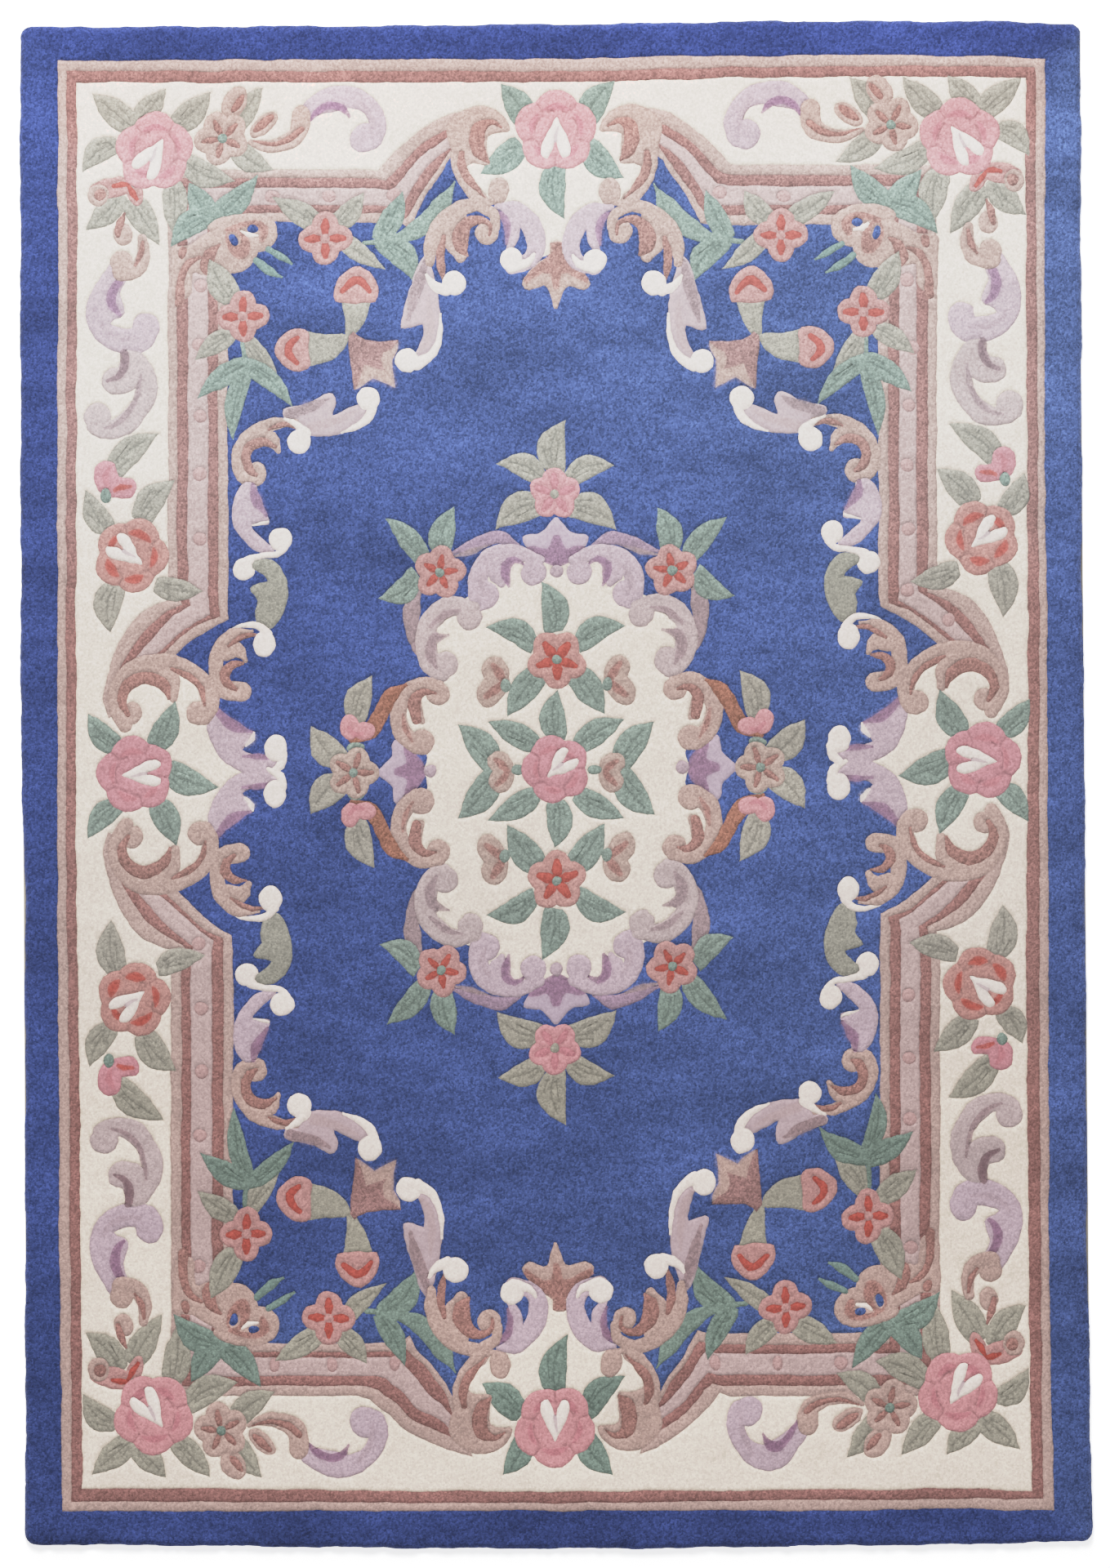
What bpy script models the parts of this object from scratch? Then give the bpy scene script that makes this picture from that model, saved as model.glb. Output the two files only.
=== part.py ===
"""An aubusson rug: one hand-tufted slab of cut wool pile, lying flat, with its design carved into the pile.

The frame is in metres, +Z up, +Y along the rug's length. The origin is under the middle of the rug, on the
floor. The slab has a slightly uneven hand-cut outline, a rim where the pile rounds over, and V-shaped lines
carved along the border, the ribbon frame, the scrolls of the medallion and the main roses.
"""

import math

import bmesh
import bpy

# Driving dimensions.
WIDTH = 1.402
LENGTH = 2.008
THICKNESS = 0.014
CORNER_RADIUS = 0.014
CORNER_STEPS = 4
RIM_ROUND = 0.007
HEM_TUCK = 0.0025

# The blue border and the two bands inside it are measured in from the rim.
BORDER_WIDTH = 0.047
BANDS_WIDTH = 0.028

# The knife's V, and the roses that it goes round.
CARVED_DEPTH = 0.0022
CARVED_HALF_WIDTH = 0.0026
ROSE_RADIUS = 0.048
ROSE_PETALS = 5
PETAL_DEPTH = 0.16
ROSE_POINTS = 30

# The design is centred a little above the middle of the rug, as it was tufted.
DESIGN_CENTRE_Y = 0.020
STEP_ROUND_CURVES = 0.011
STEP_ALONG_SIDES = 0.045

# How far each side strays out from the true rectangle: (share of the way along it, from left or from the bottom).
LEFT_SIDE = ((0.0, -0.001), (0.43, -0.0005), (0.53, 0.005), (1.0, 0.006))
RIGHT_SIDE = ((0.0, 0.0065), (0.08, 0.004), (0.21, -0.001), (0.50, -0.0035), (0.65, -0.0075), (1.0, -0.009))
TOP_SIDE = ((0.0, -0.004), (0.29, -0.003), (0.50, -0.0005), (0.73, 0.0036), (0.91, 0.0036), (1.0, 0.0))
BOTTOM_SIDE = ((0.0, -0.001), (0.46, 0.004), (0.55, 0.004), (0.82, -0.0005), (1.0, -0.005))
WOBBLE = 0.0007
WOBBLE_WAVES = ((9.0, 1.0), (23.0, 0.6), (41.0, 0.4))

# One quarter of the carved lines, top right, from the design's centre. Corners are sharp, the rest is a curve.
RIBBON_TOP_OUTER = ((0.060, 0.862), (0.080, 0.872), (0.105, 0.873), (0.130, 0.868), (0.160, 0.857),
                    (0.190, 0.839), (0.215, 0.816), (0.232, 0.796))
RIBBON_TOP_END = (0.468, 0.796)
RIBBON_SIDE_START = (0.502, 0.762)
RIBBON_SIDE_TURN = (0.502, 0.250)
RIBBON_SIDE_OUTER = ((0.530, 0.230), (0.555, 0.206), (0.575, 0.174), (0.590, 0.132), (0.596, 0.108),
                     (0.589, 0.088), (0.574, 0.076))
RIBBON_INNER = ((0.190, 0.722), (0.427, 0.722), (0.427, 0.212))
RIBBON_INNER_END = ((0.450, 0.206), (0.475, 0.192), (0.500, 0.168))
MEDALLION = ((0.000, 0.312), (0.026, 0.290), (0.062, 0.299), (0.100, 0.281), (0.114, 0.238), (0.138, 0.226),
             (0.172, 0.209), (0.183, 0.174), (0.166, 0.131), (0.200, 0.112), (0.214, 0.080), (0.198, 0.045),
             (0.172, 0.024), (0.158, 0.000))
ROSE_CENTRES = ((0.000, 0.000), (0.000, 0.840), (0.530, 0.825), (0.560, 0.320), (0.556, 0.000))

WOOL_BLUE = (0.055, 0.095, 0.40, 1.0)
WOOL_ROUGHNESS = 0.95


def clear_scene():
    for old in list(bpy.data.objects):
        bpy.data.objects.remove(old)


def collection_named(name):
    made = bpy.data.collections.new(name)
    bpy.context.scene.collection.children.link(made)
    return made


def wool_material():
    material = bpy.data.materials.new("blue_wool")
    material.use_nodes = True
    shader = material.node_tree.nodes["Principled BSDF"]
    shader.inputs["Base Color"].default_value = WOOL_BLUE
    shader.inputs["Roughness"].default_value = WOOL_ROUGHNESS
    shader.inputs["Metallic"].default_value = 0.0
    return material


def strayed(side, share):
    """How far a side strays outwards at this share of its length, eased from each station to the next."""
    wobble = sum(WOBBLE * size * math.sin(waves * 2 * math.pi * share) for waves, size in WOBBLE_WAVES)
    for (start, out), (end, next_out) in zip(side, side[1:]):
        if share <= end:
            way = (share - start) / (end - start)
            return out + (next_out - out) * way * way * (3 - 2 * way) + wobble
    return side[-1][1] + wobble


def rim_loop(inset):
    """The rug's outline moved in by inset, anticlockwise from its bottom left corner, as four sides."""
    half_w, half_l = WIDTH / 2 - inset, LENGTH / 2 - inset
    left, right = (-half_w - LEFT_SIDE[0][1], -half_w - LEFT_SIDE[-1][1]), (
        half_w + RIGHT_SIDE[0][1], half_w + RIGHT_SIDE[-1][1])
    low, high = (-half_l - BOTTOM_SIDE[0][1], -half_l - BOTTOM_SIDE[-1][1]), (
        half_l + TOP_SIDE[0][1], half_l + TOP_SIDE[-1][1])
    across, along = round(WIDTH / STEP_ALONG_SIDES), round(LENGTH / STEP_ALONG_SIDES)
    bottom = [(left[0] + (right[0] - left[0]) * i / across,
               -half_l - strayed(BOTTOM_SIDE, i / across)) for i in range(across)]
    east = [(half_w + strayed(RIGHT_SIDE, i / along),
             low[1] + (high[1] - low[1]) * i / along) for i in range(along)]
    top = [(left[1] + (right[1] - left[1]) * i / across,
            half_l + strayed(TOP_SIDE, i / across)) for i in range(across, 0, -1)]
    west = [(-half_w - strayed(LEFT_SIDE, i / along),
             low[0] + (high[0] - low[0]) * i / along) for i in range(along, 0, -1)]
    return bottom, east, top, west


def rounded(sides, radius):
    """The four sides joined into one loop, each corner turned with an arc."""
    loop = []
    for i, side in enumerate(sides):
        before, corner, after = sides[i - 1][-1], side[0], side[1]
        start = toward(corner, before, radius)
        end = toward(corner, after, radius)
        centre = (start[0] + end[0] - corner[0], start[1] + end[1] - corner[1])
        for step in range(CORNER_STEPS + 1):
            turn = math.pi / 2 * step / CORNER_STEPS
            loop.append(tuple(c + (a - c) * math.cos(turn) + (b - c) * math.sin(turn)
                              for a, b, c in zip(start, end, centre)))
        loop += side[1:]
    return loop


def toward(start, goal, length):
    share = length / math.dist(start, goal)
    return tuple(a + (b - a) * share for a, b in zip(start, goal))


def smooth(points, closed=False):
    """Points a step apart on the curve that passes through these ones."""
    count = len(points)
    spans = count if closed else count - 1
    pick = (lambda i: points[i % count]) if closed else (lambda i: points[min(max(i, 0), count - 1)])
    path = []
    for i in range(spans):
        before, start, end, after = (pick(i + k) for k in (-1, 0, 1, 2))
        steps = max(1, round(math.dist(start, end) / STEP_ROUND_CURVES))
        for k in range(steps):
            t = k / steps
            path.append(tuple(
                0.5 * (2 * b + (c - a) * t + (2 * a - 5 * b + 4 * c - d) * t ** 2
                       + (3 * b - a - 3 * c + d) * t ** 3)
                for a, b, c, d in zip(before, start, end, after)))
    if not closed:
        path.append(points[-1])
    return path


def rose_loop(centre):
    """A round of shallow petals."""
    loop = []
    for i in range(ROSE_POINTS):
        angle = 2 * math.pi * i / ROSE_POINTS
        radius = ROSE_RADIUS * (1 - PETAL_DEPTH * abs(math.sin(ROSE_PETALS * (angle - math.pi / 2) / 2)))
        loop.append((centre[0] + radius * math.cos(angle), centre[1] + radius * math.sin(angle)))
    return loop


def on_rug(point, side_x, side_y):
    """A point of the design's top right quarter, mirrored to one of its four quarters."""
    return side_x * point[0], DESIGN_CENTRE_Y + side_y * point[1]


def quarters():
    return [(x, y) for x in (1, -1) for y in (1, -1)]


def carved_lines():
    """Every carved line, as (name, points, closed)."""
    lines = [
        ("border", sum(rim_loop(BORDER_WIDTH), []), True),
        ("bands", sum(rim_loop(BORDER_WIDTH + BANDS_WIDTH), []), True),
    ]
    ribbon = (
        ("ribbon_top", smooth(RIBBON_TOP_OUTER) + [RIBBON_TOP_END]),
        ("ribbon_side", [RIBBON_SIDE_START, RIBBON_SIDE_TURN] + smooth(RIBBON_SIDE_OUTER)),
        ("ribbon_inner", list(RIBBON_INNER) + smooth(RIBBON_INNER_END)),
    )
    for side_x, side_y in quarters():
        for name, line in ribbon:
            lines.append((f"{name}_{len(lines)}", [on_rug(p, side_x, side_y) for p in line], False))
    lines.append(("medallion", [on_rug(p, 1, 1) for p in medallion_loop()], True))
    for centre in sorted({on_rug(c, x, y) for c in ROSE_CENTRES for x, y in quarters()}):
        lines.append((f"rose_{len(lines)}", rose_loop(centre), True))
    return lines


def medallion_loop():
    """The quarter's scallops, carried round to the other three."""
    top_right = list(MEDALLION)
    right = top_right + [(x, -y) for x, y in reversed(top_right[:-1])]
    whole = right + [(-x, y) for x, y in reversed(right[1:-1])]
    return smooth(whole, closed=True)


def knife(name, points, closed, carving):
    """A square tube standing on its edge along a line: what the knife takes out of the pile."""
    curve = bpy.data.curves.new(f"knife_{name}", "CURVE")
    curve.dimensions = "3D"
    curve.twist_mode = "Z_UP"
    curve.bevel_depth = CARVED_HALF_WIDTH
    curve.bevel_resolution = 0
    curve.use_fill_caps = True
    spline = curve.splines.new("POLY")
    spline.points.add(len(points) - 1)
    height = THICKNESS + CARVED_HALF_WIDTH - CARVED_DEPTH
    for place, (x, y) in zip(spline.points, points):
        place.co = (x, y, height, 1.0)
    spline.use_cyclic_u = closed
    guide = bpy.data.objects.new(f"guide_{name}", curve)
    carving.objects.link(guide)
    bpy.context.view_layer.update()
    mesh = bpy.data.meshes.new_from_object(guide.evaluated_get(bpy.context.evaluated_depsgraph_get()))
    tool = bmesh.new()
    tool.from_mesh(mesh)
    bmesh.ops.remove_doubles(tool, verts=tool.verts, dist=0.00001)
    bmesh.ops.recalc_face_normals(tool, faces=tool.faces)
    tool.to_mesh(mesh)
    tool.free()
    bpy.data.objects.remove(guide)
    cutter = bpy.data.objects.new(f"knife_{name}", mesh)
    cutter.hide_render = True
    cutter.display_type = "WIRE"
    carving.objects.link(cutter)
    return cutter


def pile_slab(collection):
    """The rug before it is carved: its outline raised to its thickness, its rim rounded, its hem tucked in."""
    outline = rounded(rim_loop(0), CORNER_RADIUS)
    middle = [(max(axis) + min(axis)) / 2 for axis in zip(*outline)]
    build = bmesh.new()
    ring = [build.verts.new((x - middle[0], y - middle[1], 0.0)) for x, y in outline]
    base = build.faces.new(ring)
    raised = bmesh.ops.extrude_face_region(build, geom=[base])["geom"]
    top = [v for v in raised if isinstance(v, bmesh.types.BMVert)]
    bmesh.ops.translate(build, verts=top, vec=(0, 0, THICKNESS))
    bmesh.ops.recalc_face_normals(build, faces=build.faces)
    round_edges(build, THICKNESS, RIM_ROUND, 3)
    round_edges(build, 0.0, HEM_TUCK, 1)
    mesh = bpy.data.meshes.new("rug")
    build.to_mesh(mesh)
    build.free()
    mesh.materials.append(wool_material())
    rug = bpy.data.objects.new("rug", mesh)
    collection.objects.link(rug)
    return rug, middle


def round_edges(build, height, width, segments):
    """Rounds the rim's edges that lie at this height."""
    edges = [e for e in build.edges
             if len(e.link_faces) == 2 and all(abs(v.co.z - height) < 1e-6 for v in e.verts)]
    bmesh.ops.bevel(build, geom=edges, offset=width, segments=segments, profile=0.5,
                    affect="EDGES", clamp_overlap=True)


def carve(rug, carving, middle):
    for name, points, closed in carved_lines():
        centred = [(x - middle[0], y - middle[1]) for x, y in points]
        knife(name, centred, closed, carving)
    cut = rug.modifiers.new("carved_design", "BOOLEAN")
    cut.operation = "DIFFERENCE"
    cut.operand_type = "COLLECTION"
    cut.collection = carving
    cut.solver = "EXACT"


def main():
    clear_scene()
    rug, middle = pile_slab(collection_named("aubusson_rug"))
    carve(rug, collection_named("carving"), middle)


main()
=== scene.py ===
"""The aubusson rug dressed: its cut and carved wool pile, yarn by yarn, over the slab of the CAD model.

The design is drawn in millimetres from the middle of the rug, x to the right and y up its length, as closed
patches in the order a tufter fills them, the later ones on top. One quarter is drawn and carried to the other
three with the small drifts of handwork. The patches then become one surface of pile, which is sunk along
every line where the shears went between two colours, and is parted into one piece for each family of yarns.
"""
import math
import random
import bpy
import numpy as np
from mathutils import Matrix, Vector, geometry, kdtree, noise
from mathutils.bvhtree import BVHTree


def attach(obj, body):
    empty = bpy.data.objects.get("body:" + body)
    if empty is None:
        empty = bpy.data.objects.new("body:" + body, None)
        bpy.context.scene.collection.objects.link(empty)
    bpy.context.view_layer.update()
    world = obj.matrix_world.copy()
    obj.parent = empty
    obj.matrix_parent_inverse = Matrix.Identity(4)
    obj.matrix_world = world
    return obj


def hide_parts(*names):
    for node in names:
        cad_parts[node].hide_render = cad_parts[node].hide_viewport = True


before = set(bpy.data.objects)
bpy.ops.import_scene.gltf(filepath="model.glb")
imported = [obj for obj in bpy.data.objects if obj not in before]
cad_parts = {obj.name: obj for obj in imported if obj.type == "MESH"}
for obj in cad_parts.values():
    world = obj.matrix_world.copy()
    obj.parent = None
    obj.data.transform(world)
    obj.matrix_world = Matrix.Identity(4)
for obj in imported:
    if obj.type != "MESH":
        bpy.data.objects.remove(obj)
for name in ("Cube", "Light", "Camera"):
    if name in bpy.data.objects:
        bpy.data.objects.remove(bpy.data.objects[name])
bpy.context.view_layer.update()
random.seed(41)

# The slab, as in the CAD model, in millimetres.
WIDTH, LENGTH, THICKNESS = 1402.0, 2008.0, 14.0
CENTRE_Y = 19.5                  # the design's middle, a little up the slab
CORNER_RADIUS, RIM_ROUND, HEM_TUCK = 14.0, 7.0, 2.5
LEFT_SIDE = ((0.0, -1.0), (0.43, -0.5), (0.53, 5.0), (1.0, 6.0))
RIGHT_SIDE = ((0.0, 6.5), (0.08, 4.0), (0.21, -1.0), (0.50, -3.5), (0.65, -7.5), (1.0, -9.0))
TOP_SIDE = ((0.0, -4.0), (0.29, -3.0), (0.50, -0.5), (0.73, 3.6), (0.91, 3.6), (1.0, 0.0))
BOTTOM_SIDE = ((0.0, -1.0), (0.46, 4.0), (0.55, 4.0), (0.82, -0.5), (1.0, -5.0))
WOBBLE = ((9.0, 0.7), (23.0, 0.42), (41.0, 0.28))

# The pile.
TUFT_STEP = 3.6
ROW_SHARE = 0.866                # rows stand this share of a step apart, as in a honeycomb
TUFT_STRAY, RIM_STRAY = 0.7, 0.35
SHEAR_DEPTH = 1.1
SHEAR_HALF = 2.2
VEIN_DEPTH = 0.9
WAVER = (1.8, 0.9)               # how far rows and outlines waver, over long and over short stretches
WAVER_LONG, WAVER_SHORT = 46.0, 8.5

# Dyed yarns: name, the piece it belongs to, and its colour (sRGB, 0 to 255).
YARNS = {
    "blue": ("blue", (66, 81, 131)),
    "ivory": ("ivory", (218, 204, 191)),
    "tan": ("tan", (170, 147, 140)),
    "ribbon_tan": ("tan", (170, 148, 142)),
    "blush": ("tan", (171, 148, 141)),
    "clay": ("tan", (168, 148, 140)),
    "rose": ("rose", (142, 106, 102)),
    "brown": ("rose", (149, 114, 108)),
    "brown_warm": ("rose", (146, 104, 90)),
    "brown_rose": ("rose", (146, 115, 113)),
    "ribbon_lilac": ("lilac", (176, 155, 153)),
    "lilac": ("lilac", (176, 158, 166)),
    "shade": ("lilac", (167, 149, 156)),
    "dove": ("lilac", (174, 158, 158)),
    "purple": ("purple", (138, 111, 131)),
    "dusk": ("purple", (146, 128, 131)),
    "dusk_deep": ("purple", (126, 105, 110)),
    "mauve": ("purple", (148, 128, 144)),
    "white": ("white", (220, 207, 199)),
    "pearl": ("white", (176, 158, 162)),
    "pearl_dark": ("white", (172, 153, 155)),
    "pearl_lilac": ("white", (172, 156, 168)),
    "sage": ("sage", (151, 146, 137)),
    "sage_deep": ("sage", (142, 139, 130)),
    "pale_green": ("sage", (118, 134, 130)),
    "jade": ("jade", (127, 138, 131)),
    "pink": ("pink", (188, 139, 142)),
    "deep_pink": ("pink", (174, 120, 126)),
    "pink_mid": ("pink", (181, 132, 138)),
    "rose_pink": ("pink", (181, 126, 132)),
    "dot": ("pink", (173, 144, 142)),
    "peach": ("coral", (172, 134, 131)),
    "peach_pink": ("coral", (172, 134, 129)),
    "coral_pale": ("coral", (171, 131, 125)),
    "coral": ("coral", (163, 86, 78)),
    "backing": ("backing", (188, 178, 160)),
}

# ---------------------------------------------------------------- strokes of the design
PATCHES = []       # in tufter's order: (yarn, outline, edge), the edge "cut" or "soft"
VEINS = []         # lines carved into one leaf: (the leaf's place in PATCHES, points)


def smooth(points, closed=False, gap=6.0):
    """Points about a gap apart on the curve through these ones."""
    count = len(points)
    spans = count if closed else count - 1

    def at(i):
        return points[i % count] if closed else points[min(max(i, 0), count - 1)]

    path = []
    for i in range(spans):
        a, b, c, d = at(i - 1), at(i), at(i + 1), at(i + 2)
        steps = max(1, round(math.dist(b, c) / gap))
        for k in range(steps):
            t = k / steps
            path.append(tuple(
                0.5 * (2 * q + (r - p) * t + (2 * p - 5 * q + 4 * r - s) * t * t
                       + (3 * q - p - 3 * r + s) * t ** 3)
                for p, q, r, s in zip(a, b, c, d)))
    if not closed:
        path.append(points[-1])
    return path


def lay(colour, outline, edge="cut"):
    """One patch of yarn on top of those before it, shorn round its edge or softly met."""
    PATCHES.append((colour, outline, edge))


def loop(colour, *points, edge="cut"):
    """A rounded shape through these points."""
    lay(colour, smooth(points, closed=True), edge)


def band(colour, points, widths, edge="cut"):
    """A tapered band along a curve. An end as wide as 4 mm or more is rounded, a narrower one is pointed."""
    path = smooth(points)
    stations = [0.0]
    for a, b in zip(path, path[1:]):
        stations.append(stations[-1] + math.dist(a, b))
    knots = [0.0]
    for p in points[1:]:
        near = min(range(len(path)), key=lambda i: math.dist(path[i], p))
        knots.append(stations[near])
    knots[-1] = stations[-1]
    left, right = [], []
    for i, (x, y) in enumerate(path):
        ax, ay = path[max(i - 1, 0)]
        bx, by = path[min(i + 1, len(path) - 1)]
        long = math.hypot(bx - ax, by - ay) or 1.0
        nx, ny = -(by - ay) / long, (bx - ax) / long
        half = eased(stations[i], knots, widths) / 2
        left.append((x + nx * half, y + ny * half))
        right.append((x - nx * half, y - ny * half))
    outline = left + cap(left[-1], right[-1], path[-1]) + right[::-1] + cap(right[0], left[0], path[0])
    lay(colour, outline, edge)


def eased(s, knots, values):
    """The value at s along the knots, with a smooth step from each to the next."""
    for (a, va), (b, vb) in zip(zip(knots, values), zip(knots[1:], values[1:])):
        if s <= b:
            t = (s - a) / (b - a) if b > a else 1.0
            t = t * t * (3 - 2 * t)
            return va + (vb - va) * t
    return values[-1]


def cap(a, b, centre):
    """The points of a half turn from a to b, or none where the end is pointed."""
    radius = math.dist(a, b) / 2
    if radius < 2:
        return []
    start = math.atan2(a[1] - centre[1], a[0] - centre[0])
    steps = 4 if radius < 5 else 7
    return [(centre[0] + radius * math.cos(start - math.pi * k / steps),
             centre[1] + radius * math.sin(start - math.pi * k / steps)) for k in range(1, steps)]


def oval(colour, x, y, rx, ry=None, turn=0.0, edge="cut"):
    """An ellipse turned anticlockwise, a round dot where it has one radius."""
    ry = ry or rx
    steps = max(9, round(2 * math.pi * max(rx, ry) / 4.2))
    c, s = math.cos(math.radians(turn)), math.sin(math.radians(turn))
    outline = []
    for k in range(steps):
        a = 2 * math.pi * k / steps
        outline.append((x + c * rx * math.cos(a) - s * ry * math.sin(a),
                        y + s * rx * math.cos(a) + c * ry * math.sin(a)))
    lay(colour, outline, edge)


def leaf(colour, base, tip, width, bend=0.0, veins=True):
    """A pointed leaf, its middle pushed to the left of its way by 1.5 times bend of its length."""
    length = math.dist(base, tip)
    ux, uy = (tip[0] - base[0]) / length, (tip[1] - base[1]) / length

    def place(along, aside):
        side = aside + bend * length * 6 * along * (1 - along)
        return base[0] + ux * along * length - uy * side, base[1] + uy * along * length + ux * side

    profile = ((0.0, 0.6), (0.12, 0.86), (0.32, 1.0), (0.54, 0.93), (0.74, 0.62), (0.9, 0.24))
    left = [place(a, w * width / 2) for a, w in profile]
    right = [place(a, -w * width / 2) for a, w in profile]
    tip_at = place(1.0, 0.0)
    lay(colour, smooth(left + [tip_at]) + smooth([tip_at] + right[::-1]))
    if veins:
        VEINS.append((len(PATCHES) - 1, smooth([place(0.08, 0), place(0.4, 0), place(0.76, 0)])))
        VEINS.append((len(PATCHES) - 1, [place(0.16, 0.16 * width), place(0.36, 0.24 * width)]))
        VEINS.append((len(PATCHES) - 1, [place(0.2, -0.14 * width), place(0.54, -0.22 * width)]))


def flower(colour, x, y, radius, petals, turn, notch=0.22):
    """Round petals about a centre. turn is the angle of the first petal."""
    steps = petals * 8
    outline = []
    for k in range(steps):
        a = 2 * math.pi * k / steps
        r = radius * (1 - notch * (1 - abs(math.cos(petals * a / 2))))
        outline.append((x + r * math.cos(a + math.radians(turn)), y + r * math.sin(a + math.radians(turn))))
    lay(colour, outline)


def outline_shape(colour, *points, edge="cut"):
    """A shape with a corner at each of these points."""
    lay(colour, list(points), edge)


def arc(x, y, radius, start, end, steps=6):
    """Points round a centre from one angle to another."""
    turns = [math.radians(start + (end - start) * k / steps) for k in range(steps + 1)]
    return [(x + radius * math.cos(a), y + radius * math.sin(a)) for a in turns]


# A rose's folds, one behind each petal: (from angle, to angle, how far out, how wide).
ROSE_FOLDS = ((58, 122, 0.60, 0.15), (-12, 44, 0.60, 0.12), (-82, -30, 0.62, 0.17), (-146, -96, 0.62, 0.16),
              (136, 190, 0.60, 0.12))
HEART = ((0, 0.36), (0.12, 0.12), (0.27, -0.14), (0.36, -0.42), (0.31, -0.6), (0.17, -0.63), (0.06, -0.42),
         (0.0, -0.2), (-0.06, -0.42), (-0.18, -0.66), (-0.32, -0.6), (-0.36, -0.4), (-0.26, -0.12),
         (-0.12, 0.14))


def turned(x, y, size, turn, points):
    """A small drawing's points grown to a size, turned and set down at a place."""
    c, s = math.cos(math.radians(turn)), math.sin(math.radians(turn))
    return [(x + size * (c * a - s * b), y + size * (s * a + c * b)) for a, b in points]


def rose(x, y, radius, turn, light, dark, spin=0, fold=1.0):
    """A full rose: round petals, deep folds, and a forked white heart whose point is turned from up."""
    flower(light, x, y, radius, 5, 90 + spin, 0.15)
    petals = len(PATCHES) - 1
    for start, end, share, wide in ROSE_FOLDS:
        w = wide * radius * fold
        band(dark, arc(x, y, radius * share, start + spin, end + spin, 5),
             (w * 0.2, w * 0.8, w * 1.15, w * 1.15, w * 0.8, w * 0.2), edge="soft")
    for k in range(5):
        aim = math.radians(126 + spin + 72 * k)
        VEINS.append((petals, [(x + math.cos(aim) * radius * r, y + math.sin(aim) * radius * r)
                               for r in (0.6, 0.8)]))
        VEINS.append((petals, arc(x, y, radius * 0.52, 62 + spin + 72 * k, 110 + spin + 72 * k, 4)))
    lay("white", smooth(turned(x, y, radius, turn, HEART), closed=True, gap=4))
    band("pearl", turned(x, y, radius, turn, ((-0.01, -0.24), (0.0, -0.06), (0.05, 0.12))), (5, 4, 2),
         edge="soft")


def blossom(x, y, radius, petal, heart, arms, turn, eye=None, inner=0.3, reach=0.74, wide=9.0, notch=0.22):
    """A small open flower: petals, a short deep stroke down each of them, and an eye."""
    flower(petal, x, y, radius, arms, turn, notch)
    for k in range(arms):
        a = math.radians(turn + 360 * k / arms)
        u, v = math.cos(a), math.sin(a)
        spots = [(x + u * radius * r, y + v * radius * r) for r in (inner, (inner + reach) / 2, reach)]
        band(heart, spots, (wide * 0.6, wide * 0.95, wide * 0.55))
    oval(eye or petal, x, y, 6.5)


# ---------------------------------------------------------------- quarter, top right
def top_scrolls():
    """The large scrolls beside the rose at the end of the field."""
    loop("tan", (57, 864), (66, 884), (88, 896), (115, 894), (140, 870), (134, 838), (133, 812), (122, 785),
         (104, 766), (84, 767), (88, 778), (106, 793), (114, 812), (104, 820), (84, 820), (86, 838),
         (86, 858), (72, 862))
    band("brown", ((67, 868), (80, 876), (96, 870), (100, 853), (96, 837), (84, 823)), (2, 7, 18, 20, 18, 3))
    band("brown", ((119, 835), (120, 818), (112, 797), (88, 772)), (7, 12, 12, 2))
    oval("tan", 71, 782, 14, 19)
    band("lilac", ((72, 762), (48, 757), (28, 738), (19, 710), (28, 690), (50, 682)), (8, 22, 26, 24, 22, 20))
    band("lilac", ((58, 750), (48, 735), (50, 718), (56, 704)), (8, 16, 16, 8))
    band("purple", ((74, 757), (61, 747), (56, 730), (59, 711)), (3, 10, 9, 3), edge="soft")
    oval("blue", 38, 710, 3.5, 12, 20)
    band("white", ((22, 698), (30, 687), (50, 683)), (4, 11, 18))
    oval("white", 52, 692, 15.5)
    band("tan", ((74, 768), (102, 764), (128, 756), (150, 736), (160, 712), (160, 688)),
         (6, 18, 20, 22, 20, 12))
    band("tan", ((98, 762), (76, 752), (72, 735)), (14, 14, 12))
    oval("tan", 84, 729, 16)
    band("tan", ((128, 750), (126, 715), (120, 697)), (30, 36, 16))
    band("tan", ((150, 742), (152, 712)), (14, 14))
    band("brown", ((80, 726), (80, 738), (92, 745), (110, 741), (120, 724), (118, 708), (111, 699)),
         (4, 6, 9, 16, 24, 20, 5))
    band("brown", ((143, 722), (147, 704), (146, 684), (142, 665)), (6, 12, 11, 4))
    band("white", ((165, 673), (160, 664), (150, 656), (138, 652)), (3, 9, 14, 14))
    oval("white", 128, 662, 16.5)


def crown():
    """The small crown that hangs into the field below that rose."""
    outline_shape("tan", *smooth(((-9, 715), (9, 715), (8, 700), (24, 690), (38, 674), (45, 660), (36, 652),
                  (22, 656), (12, 656), (2, 628), (-2, 628), (-12, 656), (-22, 656), (-36, 652), (-45, 660),
                  (-38, 674), (-24, 690), (-8, 700)), closed=True))
    outline_shape("brown", (-10, 715), (8, 715), (7, 701), (20, 691), (33, 679), (43, 668), (41, 660),
                  (27, 668), (15, 675), (7, 674), (3, 654), (-3, 654), (-8, 674), (-18, 675), (-30, 668),
                  (-41, 659), (-43, 667), (-33, 679), (-20, 691), (-9, 701), edge="soft")


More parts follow.
